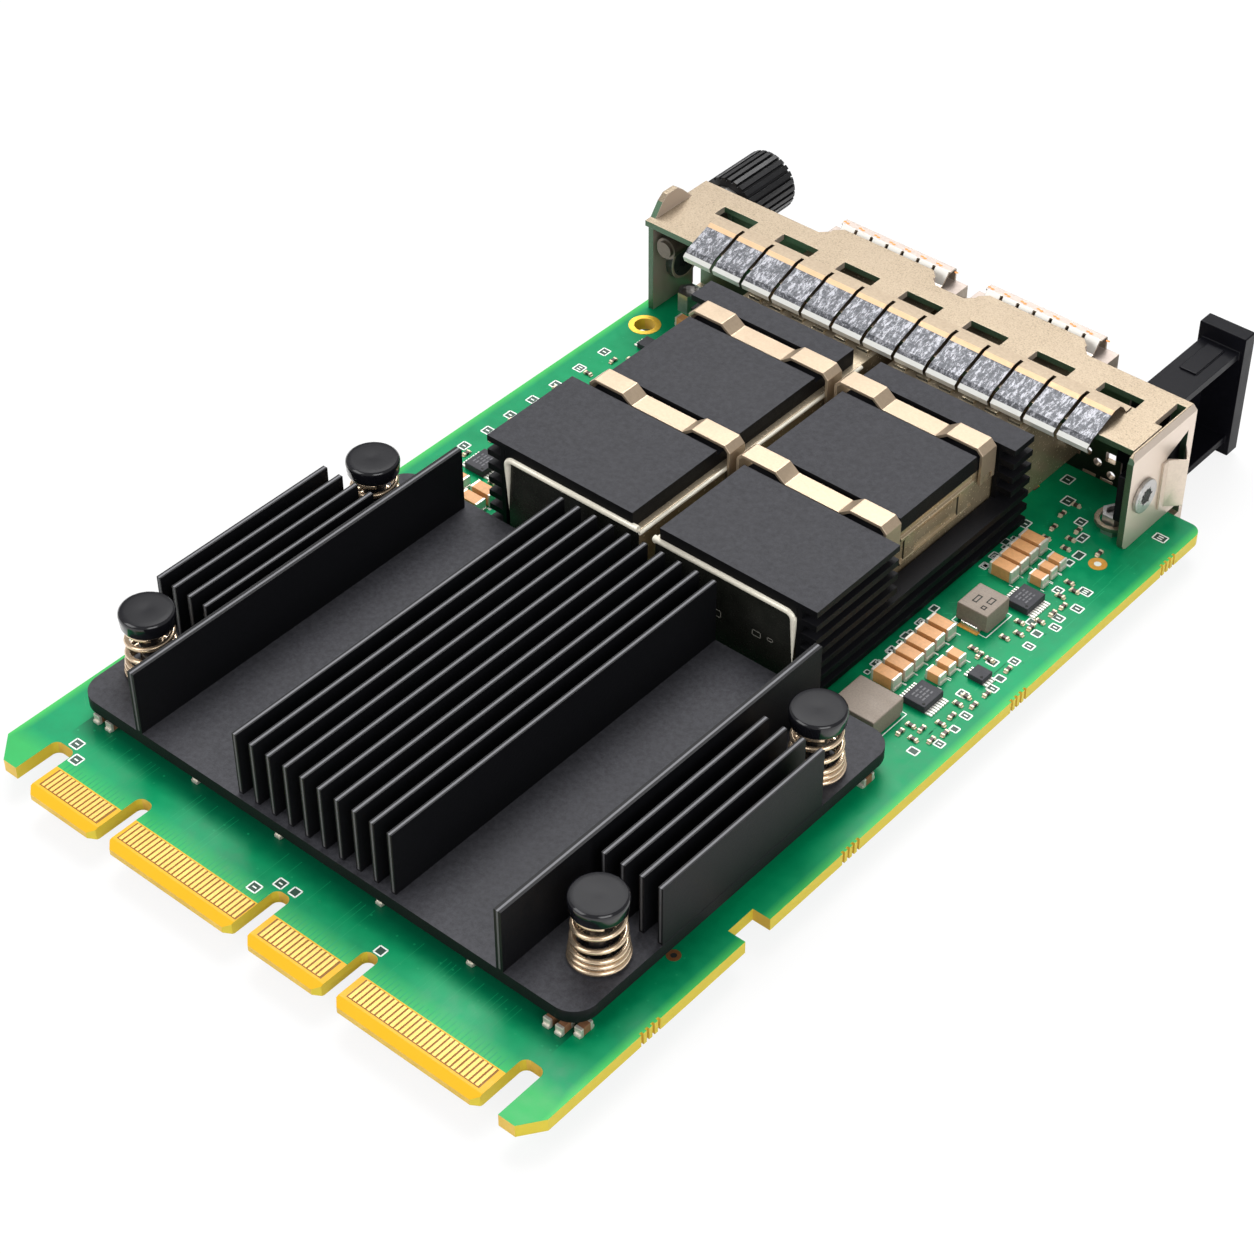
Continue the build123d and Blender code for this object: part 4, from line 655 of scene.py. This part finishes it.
def place_chips(name, node, slot_name, middle, end, end_share, bevel, pad, axis):
    """Chip parts with plated ends, and solder pads unless pad is 0, in place of a node's plain solids."""
    made = Builder(middle, end)
    for low, high in islands(node):
        size = high - low
        way = axis if axis is not None else (0 if size.x >= size.y else 1)
        other = 1 - way
        length = size[way] * end_share
        inset = Vector((0.03, 0.03, 0.03)) * MM
        mid_low, mid_high = low + inset, high - inset
        mid_low[way] += length * 0.5
        mid_high[way] -= length * 0.5
        mid_low.z = low.z
        made.box(mid_low, mid_high, 0, bevel * MM)
        for far in (False, True):
            end_low, end_high = Vector(low), Vector(high)
            if far:
                end_low[way] = high[way] - length
            else:
                end_high[way] = low[way] + length
            made.box(end_low, end_high, 1, bevel * MM)
            if not pad:
                continue
            end_low[other] += size[other] * 0.04
            end_high[other] -= size[other] * 0.04
            if far:
                end_high[way] += pad * MM
            else:
                end_low[way] -= pad * MM
            end_high.z = low.z + min(size.z * 0.35, 0.45 * MM)
            made.box(end_low, end_high, 1, 0.08 * MM)
    made.finish(name, "card", slot_name, node)


def spring_set():
    """Four conical wire springs, wound close at the base and open toward the cap."""
    made = Builder("wire")
    wire = 0.31 * MM
    base_radius, top_radius = 2.86 * MM, 2.34 * MM
    turns = 5.3
    count = int(turns * 40)
    start_angle = 0.6
    low_z = level(PLATE_TOP) + wire
    high_z = level(CAP_UNDERSIDE) - wire
    for x, y in PIN_PLACES:
        centre = at(x, y, 0)
        points = []
        for i in range(count + 1):
            t = i / count
            rise = min(t * 0.62 if t < 0.5 else 0.31 + (t - 0.5) * 1.55, 1.0)
            radius = base_radius + (top_radius - base_radius) * t
            a = 2 * math.pi * turns * t + start_angle
            points.append(Vector((centre.x + radius * math.cos(a), centre.y + radius * math.sin(a),
                                  low_z + (high_z - low_z) * rise)))
        made.tube(points, wire)
    made.finish("pin_springs_wound", "card", "spring_wire", "push_pin_springs")


def pin_set():
    """Four push pins: pointed barb, shank with a collar, glossy round-edged cap with a satin top."""
    made = Builder("cap_black", "cap_top")
    # Radius and height in millimetres.
    barb = [(0, -3.97), (0.9, -3.97), (2.0, -1.92), (1.3, -1.57)]
    shank = [(1.28, 3.2), (1.9, 3.6), (1.9, 4.0), (1.3, 4.4), (1.3, 9.6), (1.7, 10.0)]
    cap = [(2.72, 10.0), (2.84, 10.06), (2.9, 10.2), (2.98, 11.2), (3.0, 11.35), (2.97, 11.58),
           (2.88, 11.74), (2.72, 11.84)]
    disc = [(2.72, 11.84), (2.5, CAP_TOP - 0.02), (2.2, CAP_TOP), (0.4, CAP_TOP - 0.02), (0, CAP_TOP - 0.05)]
    for x, y in PIN_PLACES:
        for material, profile in enumerate((barb + shank + cap, disc)):
            profile = [(r * MM, z * MM) for r, z in profile]
            made.lathe(profile, at(x, y, 0), sides=64, material=material)
    made.finish("push_pins_turned", "card", "pin_black", "push_pins")


def chip_with_leads(name, node):
    """Moulded chips with rows of leads on two sides and a dot, and rows of pale print on the large ones."""
    made = Builder("chip", "lead", "hole_dark", "chip_print")
    large_width = 2.0 * MM
    half_lead = 0.13 * MM
    for low, high in islands(node):
        size = high - low
        large = size.x > large_width
        made.box(low + Vector((0, 0, 0.08 * MM)), high, 0, 0.08 * MM)
        count, reach = (8, 0.85 * MM) if large else (4, 0.6 * MM)
        pitch = size.y / (count + 0.4)
        for i in range(count):
            y = (low.y + high.y) / 2 + (i - (count - 1) / 2) * pitch
            for edge, turn in ((low.x, -1), (high.x, 1)):
                x0, x1 = sorted((edge - turn * 0.1 * MM, edge + turn * reach))
                lead_low = Vector((x0, y - half_lead, low.z))
                made.box(lead_low, Vector((x1, y + half_lead, low.z + 0.2 * MM)), 1, 0.04 * MM)
        dot = [(0, 0), (0.17 * MM, 0), (0.17 * MM, 0.01 * MM), (0, 0.01 * MM)]
        made.lathe(dot, Vector((low.x + 0.4 * MM, high.y - 0.4 * MM, high.z)), sides=16, material=2)
        if large:
            chip_print(made, low, size, high.z + PRINT_LIFT * MM)
    made.finish(name, "card", "chip_body", node)


def chip_print(made, low, size, z):
    """Rows of short plain dashes on top of a chip."""
    for row in range(4):
        for k in range(3):
            y0 = low.y + size.y * (0.25 + 0.19 * k)
            x0 = low.x + size.x * (0.26 + 0.16 * row)
            x1, y1 = x0 + size.x * 0.07, y0 + size.y * (0.15 if (row + k) % 3 else 0.11)
            made.flat(mark_corners(x0, x1, y0, y1, z), 3)


def mark_corners(x0, x1, y0, y1, z):
    """Corners of a box-shaped mark that faces up."""
    return [Vector((x0, y0, z)), Vector((x1, y0, z)), Vector((x1, y1, z)), Vector((x0, y1, z))]


def flat_marks(name, material, shapes, height):
    """Thin printed shapes on the board: lists of corner points in millimetres at one height."""
    made = Builder(material)
    for points in shapes:
        made.flat([at(x, y, height) for x, y in points])
    made.finish(name, "card", "board_mask")


def outline_strips(a0, a1, b0, b1, width):
    """The four strips of a box outline, each as its two limits one way and the other way."""
    return ((a0, a1, b0, b0 + width), (a0, a1, b1 - width, b1),
            (a0, a0 + width, b0, b1), (a1 - width, a1, b0, b1))


def stroke(x0, y0, x1, y1, width):
    """Corners of a straight stroke."""
    length = math.hypot(x1 - x0, y1 - y0) or 1
    dx, dy = (y1 - y0) / length * width / 2, -(x1 - x0) / length * width / 2
    return [(x0 + dx, y0 + dy), (x0 - dx, y0 - dy), (x1 - dx, y1 - dy), (x1 + dx, y1 + dy)]


# The sides of a square from -1 to 1, each as its two ends.
SQUARE_SIDES = ((-1, -1, 1, -1), (1, -1, 1, 1), (1, 1, -1, 1), (-1, 1, -1, -1))


def framed_mark(x, y, w, h, inner, width=0.17):
    """Small printed box outline with a few plain strokes inside."""
    shapes = []
    for a, b, c, d in SQUARE_SIDES:
        shapes.append(stroke(x + a * w / 2, y + b * h / 2, x + c * w / 2, y + d * h / 2, width))
    for k in range(inner):
        place = (k + 1) / (inner + 1) - 0.5
        shapes.append(stroke(x - w * 0.22, y + place * h, x + w * 0.22, y + place * h, width))
    return shapes


# Printed boxes: centre x and y, width, length, and the number of strokes inside.
PRINTED_BOXES = [
    (-22.4, -100.3, 0.9, 1.3, 1), (-22.5, -96.3, 0.8, 1.0, 0), (-22.9, -93.5, 0.8, 1.1, 1),
    (-23.1, -91.4, 0.8, 1.0, 0), (-35.2, -108.0, 1.5, 1.1, 2), (-21.5, -110.0, 1.2, 1.4, 1),
    (-23.7, -106.8, 1.2, 1.4, 1), (-28.6, -102.4, 0.9, 1.5, 1), (-30.0, -99.6, 1.0, 1.3, 0),
    (-29.9, -97.9, 0.8, 0.9, 0), (-34.0, -94.9, 1.4, 1.0, 2), (-34.9, -92.0, 1.2, 1.0, 1),
    (-34.2, -89.4, 1.2, 1.0, 1), (-34.8, -87.9, 1.1, 0.9, 1), (-33.9, -85.8, 1.0, 0.9, 0),
    (-34.4, -83.6, 1.1, 0.9, 1), (-23.1, -82.0, 0.8, 1.0, 0), (-23.3, -79.2, 0.8, 1.1, 1),
    (-23.4, -76.4, 0.8, 1.0, 0), (-23.6, -73.6, 0.8, 1.1, 1), (-23.6, -70.8, 0.8, 1.0, 0),
    (-34.6, -80.6, 1.0, 1.0, 1), (-35.0, -77.4, 1.0, 0.9, 0), (-35.3, -75.6, 1.1, 0.9, 1),
    (-35.6, -70.4, 1.1, 0.9, 1), (-35.9, -68.0, 0.9, 0.8, 0), (-36.0, -65.2, 1.0, 0.9, 1),
    (-34.6, -62.6, 1.1, 0.9, 0), (35.2, -66.0, 1.1, 1.2, 1), (35.2, -70.0, 1.1, 1.2, 1),
    (35.1, -73.9, 1.1, 1.2, 1), (35.1, -77.8, 1.1, 1.2, 1), (35.1, -81.7, 1.1, 1.2, 1),
    (35.0, -85.7, 1.1, 1.2, 1), (35.0, -90.0, 1.2, 1.2, 2), (34.9, -94.4, 1.1, 1.2, 1),
    (31.4, -7.7, 1.2, 1.2, 1), (29.7, -6.1, 1.2, 1.2, 1), (2.9, -5.5, 1.2, 1.1, 1),
    (1.3, -7.5, 1.1, 1.1, 1), (-0.6, -7.6, 1.0, 1.0, 0), (-12.3, -7.5, 1.0, 1.0, 0),
    (-25.6, -98.6, 1.1, 1.3, 1), (-26.9, -104.6, 1.1, 1.2, 1), (-31.6, -93.2, 1.0, 1.0, 1),
    (-32.4, -87.0, 1.0, 1.0, 0), (-32.9, -79.0, 1.1, 1.0, 1), (-33.4, -72.9, 1.1, 1.0, 1),
]


def printed_marks():
    """All printed boxes, with the outlines round the inductors and the marks beside the capacitors."""
    shapes, fills = [], []
    for x, y, w, h, inner in PRINTED_BOXES:
        shapes.extend(framed_mark(x, y, w, h, inner))
        fills.append(stroke(x - w / 2, y, x + w / 2, y, h))
    for x, y, w, h in ((-27.9, -84.1, 4.5, 4.8), (-27.7, -63.7, 6.2, 5.8)):
        shapes.extend(framed_mark(x, y, w, h, 0, 0.12))
    box = 0.56
    for node in ("large_capacitors", "small_capacitors"):
        for low, high in islands(node):
            low, high = low / MM - SHIFT, high / MM - SHIFT
            if abs(low.x) < CAGE_SIDE:
                continue
            if node == "large_capacitors" and low.x < 0:
                x, y = high.x + 0.95, (low.y + high.y) / 2
                shapes.extend(framed_mark(x, y, box, box, 0, 0.13))
                fills.append(stroke(x - box / 2, y, x + box / 2, y, box))
            for y in (low.y - 0.2, high.y + 0.2):
                shapes.append(stroke(low.x - 0.42, y, low.x + 0.1, y, 0.12))
    flat_marks("mark_fills", "mask_dark", fills, 0.010)
    flat_marks("printed_marks", "ink", shapes, 0.014)


def traces():
    """Faint copper runs seen through the mask, behind the tabs and along the long edges."""
    shapes = []
    run_start, run_end, plate_front = -4.3, -5.2, -10.9
    for first, count in ((29.6, 14), (17.4, 28), (-2.2, 14), (-14.2, 28)):
        for i in range(count):
            x = first - i * CONTACT_PITCH
            reach = run_end - RANDOM.random() * 1.4
            shapes.append(stroke(x, run_start, x, reach, 0.12))
            if RANDOM.random() < 0.3:
                shapes.append(stroke(x, reach, x, plate_front, 0.07))
    for i in range(9):
        y = -12.0 - i * 1.6
        shapes.append(stroke(34.9, y, 36.2, y - 0.9, 0.1))
    for i in range(26):
        x = -35.8 + RANDOM.random() * 1.8
        y = -60.5 - i * 1.7
        length = 1.2 + RANDOM.random() * 3.0
        shapes.append(stroke(x, y, x, y - length, 0.1))
    for i in range(20):
        x = -23.2 - RANDOM.random() * 1.2
        y = -61 - i * 1.9
        shapes.append(stroke(x, y, x - 1.0, y - 1.0, 0.1))
    flat_marks("copper_runs", "trace", shapes, 0.006)


def vias():
    """Small via dots in pale green, a copper ring near the bracket and a brown one near the front."""
    made = Builder("trace", "pad_copper", "hole_dark", "via_brown", "ink")
    spots = []
    # Count, start and width across, start and depth along.
    for count, x, wide, y, deep in ((90, -23.0, -13.5, -61, 48), (40, 31.0, 5.5, -61, 38),
                                    (40, -33, 66, -7.4, 3.0)):
        for _ in range(count):
            spots.append((x + RANDOM.random() * wide, y - RANDOM.random() * deep))
    for i in range(7):
        spots.append((-34.9 - (i % 2) * 0.8, -13.0 - i * 2.1))
    for x, y in spots:
        made.lathe([(0, 0), (0.13 * MM, 0)], at(x, y, 0.009), sides=10, smooth=False)
    # Place, outer and inner radius, and the materials of the ring and its middle.
    for x, y, outer, inner, ring, core in ((-32.4, -99.7, 1.05, 0.42, 1, 4),
                                           (-33.9, -25.2, 0.75, 0.33, 3, 2)):
        centre = at(x, y, 0)
        profile = [(inner, 0.01), (inner, 0.04), (outer, 0.04), (outer, 0.01)]
        profile = [(r * MM, z * MM) for r, z in profile]
        made.lathe(profile, centre, sides=40, material=ring, smooth=False)
        middle = [(0, 0.012 * MM), (inner * MM, 0.012 * MM)]
        made.lathe(middle, centre, sides=24, material=core, smooth=False)
    made.finish("via_dots", "card", "board_mask")


def inductor_terminals():
    """Terminals and pads at both ends of the inductors, and the plain printed boxes on the small one."""
    made = Builder("solder", "hole_dark", "pad_copper")
    # Start and end from the body, half width, height, material and bevel.
    terminal = (0.02, 0.4, 1.1, 0.7, 0, 0.1)
    pad = (0.1, 0.7, 1.3, 0.12, 2, 0.04)
    for node in ("inductor_small", "inductor_large"):
        low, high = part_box(node)
        mid = (low.x + high.x) / 2
        for edge, turn in ((low.y, -1), (high.y, 1)):
            for start, end, half, height, material, bevel in (terminal, pad):
                y0, y1 = sorted((edge + turn * start * MM, edge + turn * end * MM))
                box_low = Vector((mid - half * MM, y0, low.z))
                box_high = Vector((mid + half * MM, y1, low.z + height * MM))
                made.box(box_low, box_high, material, bevel * MM)
    low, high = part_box("inductor_small")
    z = high.z + PRINT_LIFT * MM
    for x, y, w, h in ((-0.8, 1.1, 0.6, 0.6), (-0.8, -0.3, 0.7, 1.1), (0.6, 0.3, 0.6, 1.3)):
        x, y = (low.x + high.x) / 2 + x * MM, (low.y + high.y) / 2 + y * MM
        w, h = w * MM, h * MM
        strips = outline_strips(x - w / 2, x + w / 2, y - h / 2, y + h / 2, 0.15 * MM)
        for x0, x1, y0, y1 in strips:
            made.flat(mark_corners(x0, x1, y0, y1, z), 1)
    made.finish("inductor_terminals", "card", "inductor_grey")


def screw_recess():
    """Flat star-shaped dark face on the pull tab's screw: painted shade in place of its recess."""
    made = Builder("hole_dark")
    low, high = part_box("pull_tab_screw")
    centre = Vector((low.x - 0.01 * MM, (low.y + high.y) / 2, (low.z + high.z) / 2))
    # Painted shade: a flat dark star stands for the shade inside the recess.
    points = []
    for i in range(24):
        a = 2 * math.pi * i / 24
        r = (0.85 + 0.36 * math.cos(6 * a)) * MM
        points.append(centre + Vector((0, r * math.cos(a), r * math.sin(a))))
    made.flat(points)
    made.finish("pull_tab_screw_recess", "card", "steel")


def collar_dots(name, middle):
    """Copper-coloured spots where the fingers of a collar meet its band."""
    made = Builder("copper_spot")
    z = level(COLLAR_TOP) + ETCH_LIFT * MM
    fingers, sides = 8, 14
    for i in range(fingers):
        # Two spots a finger: shift across, half width, half depth, and shift back.
        for shift, wide, deep, back in ((-0.62, 0.26, 0.17, 0.0), (-0.12, 0.24, 0.15, 0.12)):
            if i == fingers - 1 and back:
                continue
            centre = at(middle + (3.5 - i) * COLLAR_PITCH + shift, COLLAR_BAND - back, 0)
            points = []
            for k in range(sides):
                a = 2 * math.pi * k / sides
                out = Vector((wide * math.cos(a), deep * math.sin(a), 0)) * MM
                points.append(Vector((centre.x + out.x, centre.y + out.y, z)))
            made.flat(points)
    made.finish("collar_spots_" + name, "card", "collar_sheet")


def wall_marks():
    """Small etched boxes on the rear wall of the near cage."""
    made = Builder("etched")
    y = along(CAGE_REAR) + ETCH_LIFT * MM
    top = 5.6
    for x, wide, tall in ((-5.2, 0.9, 0.5), (-6.6, 0.8, 0.9), (-8.0, 1.0, 0.5), (-5.9, 0.6, 1.2),
                          (-9.4, 0.9, 1.0), (-14.6, 1.2, 0.8), (-16.4, 0.8, 0.5)):
        low, high = at(x - wide / 2, 0, top - tall), at(x + wide / 2, 0, top)
        for x0, x1, z0, z1 in outline_strips(low.x, high.x, low.z, high.z, 0.11 * MM):
            corners = ((x0, z0), (x1, z0), (x1, z1), (x0, z1))
            made.flat([Vector((x, y, z)) for x, z in corners])
    made.finish("wall_marks", "card", "cage_sheet")


def cage_rims():
    """Rounded rims round each cage's rear wall and along its inner wall, pale as a painted highlight."""
    made = Builder("rim")
    rim, side_rim = 0.4 * MM, 0.24 * MM
    y = CAGE_REAR + 0.13
    top, foot, bend = 10.8, 3.6, 0.9
    side_top, side_end = 10.25, -100.5
    for inner, outer, way in ((1.5, 20.25, 1), (-0.75, -19.45, -1)):
        path = [at(inner, y, top)]
        for k in range(9):
            a = math.pi / 2 * k / 8
            x = outer - way * bend * (1 - math.sin(a))
            path.append(at(x, y, top - bend * (1 - math.cos(a))))
        path.append(at(outer, y, foot))
        made.tube(path, rim)
        side = inner - way * 0.108
        made.tube([at(side, CAGE_REAR + 0.05, side_top), at(side, side_end, side_top)], side_rim)
    made.finish("cage_rims", "card", "cage_sheet")


def boss_rim():
    """Pale ring and two dark dots on the face of the boss."""
    made = Builder("leaf", "hole_dark")
    low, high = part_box("flange_boss")
    centre = Vector((low.x, (low.y + high.y) / 2, (low.z + high.z) / 2))
    radius = (high.z - low.z) / 2
    way = Vector((-1, 0, 0))
    ring = [(radius * 0.84, 0.01 * MM), (radius * 0.86, 0.06 * MM), (radius * 0.98, 0.06 * MM),
            (radius, 0.0)]
    made.lathe(ring, centre, way, 48)
    dot = [(0, 0.04 * MM), (0.28 * MM, 0.04 * MM), (0.28 * MM, 0.0)]
    for shift in (-0.7 * MM, 0.7 * MM):
        made.lathe(dot, centre + Vector((0, 0, shift)), way, 16, 1)
    made.finish("flange_boss_rim", "card", "steel")


# Chip parts: name, node, slot, middle, end, share of an end, bevel, pad length, axis of the ends.
CHIP_PARTS = (
    ("large_ceramics", "large_capacitors", "ceramic_tan", "tan", "tin", 0.11, 0.06, 0.12, 0),
    ("small_ceramics", "small_capacitors", "ceramic_tan", "tan", "tin", 0.14, 0.06, 0.12, 0),
    ("under_sink_ceramics", "under_sink_capacitors", "ceramic_tan", "brown", "tin", 0.22, 0.06, 0.2, 1),
    ("tiny_parts", "chip_passives", "passive_body", "part_body", "part_end", 0.26, 0.04, 0.16, None),
    ("underside_ceramics", "bottom_capacitors", "ceramic_tan", "tan", "tin", 0.2, 0.06, 0.0, None),
)


def build_pieces():
    """All pieces that stand for plain nodes or add to them."""
    for row in CHIP_PARTS:
        place_chips(*row)
    chip_with_leads("regulator_bodies", "regulator_chips")
    chip_with_leads("small_chip_bodies", "small_chips")
    spring_set()
    pin_set()
    printed_marks()
    traces()
    vias()
    inductor_terminals()
    screw_recess()
    collar_dots("far", 10.95)
    collar_dots("near", -10.15)
    wall_marks()
    cage_rims()
    boss_rim()


# Stage, lamps and camera

def make_floor():
    """Pale floor that keeps the card's shadow and looks white to the camera."""
    tone, glow_share = 0.82, 0.86
    bpy.ops.mesh.primitive_plane_add(size=6, location=(0, 0, -0.02 * MM))
    floor = bpy.context.object
    floor.name = "floor"
    mat = bpy.data.materials.new("floor_white")
    mat.use_nodes = True
    tree = mat.node_tree
    tree.nodes.clear()
    out = tree.nodes.new("ShaderNodeOutputMaterial")
    diffuse = tree.nodes.new("ShaderNodeBsdfDiffuse")
    diffuse.inputs["Color"].default_value = (tone, tone, tone, 1)
    glow = tree.nodes.new("ShaderNodeEmission")
    glow.inputs["Color"].default_value = (1, 1, 1, 1)
    glow.inputs["Strength"].default_value = 1.0
    mix = tree.nodes.new("ShaderNodeMixShader")
    path = tree.nodes.new("ShaderNodeLightPath")
    share = tree.nodes.new("ShaderNodeMath")
    share.operation = "MULTIPLY"
    share.inputs[1].default_value = glow_share
    tree.links.new(path.outputs["Is Camera Ray"], share.inputs[0])
    tree.links.new(share.outputs[0], mix.inputs[0])
    tree.links.new(diffuse.outputs[0], mix.inputs[1])
    tree.links.new(glow.outputs[0], mix.inputs[2])
    tree.links.new(mix.outputs[0], out.inputs["Surface"])
    floor.data.materials.append(mat)


def make_world():
    """Even soft light that the camera sees as white."""
    light = 0.42
    world = bpy.data.worlds.new("studio")
    bpy.context.scene.world = world
    world.use_nodes = True
    tree = world.node_tree
    tree.nodes.clear()
    out = tree.nodes.new("ShaderNodeOutputWorld")
    back = tree.nodes.new("ShaderNodeBackground")
    back.inputs["Color"].default_value = (1, 1, 1, 1)
    path = tree.nodes.new("ShaderNodeLightPath")
    power = tree.nodes.new("ShaderNodeMapRange")
    power.inputs["To Min"].default_value = light
    power.inputs["To Max"].default_value = 1.0
    tree.links.new(path.outputs["Is Camera Ray"], power.inputs["Value"])
    tree.links.new(power.outputs["Result"], back.inputs["Strength"])
    tree.links.new(back.outputs[0], out.inputs["Surface"])


def make_lamps():
    """Three soft lamps: name, place, size in metres, power in watts."""
    for name, place, size, watts in (
        ("key", (0.25, -0.35, 0.75), 0.55, 9.0),
        ("fill", (-0.65, 0.35, 0.45), 0.5, 3.2),
        ("back", (0.35, 0.65, 0.50), 0.5, 2.6),
    ):
        data = bpy.data.lights.new(name, "AREA")
        data.energy = watts
        data.size = size
        lamp = bpy.data.objects.new(name, data)
        bpy.context.scene.collection.objects.link(lamp)
        lamp.location = place
        lamp.rotation_mode = "QUATERNION"
        lamp.rotation_quaternion = (-Vector(place)).to_track_quat("-Z", "Y")


def make_camera():
    """Camera fitted to the photograph from the card's own sizes."""
    sensor, focal_pixels, photo_pixels = 36.0, 2880.43, 1254
    data = bpy.data.cameras.new("camera")
    data.sensor_width = sensor
    data.lens = sensor * focal_pixels / photo_pixels
    data.clip_start = 0.01
    data.clip_end = 10.0
    camera = bpy.data.objects.new("camera", data)
    bpy.context.scene.collection.objects.link(camera)
    # Axes of the fitted camera.
    right = Vector((-0.75900, -0.65109, -0.00294)).normalized()
    down = Vector((-0.42919, 0.50371, -0.74971))
    ahead = right.cross(down).normalized()
    down = ahead.cross(right)
    turn = Matrix((right, -down, -ahead)).transposed()
    camera.rotation_mode = "QUATERNION"
    camera.rotation_quaternion = turn.to_quaternion()
    camera.location = at(-151.288, 117.536, 204.778)
    bpy.context.scene.camera = camera


dress_nodes()
build_pieces()
make_floor()
make_world()
make_lamps()
make_camera()
bpy.context.scene.view_settings.view_transform = "Standard"
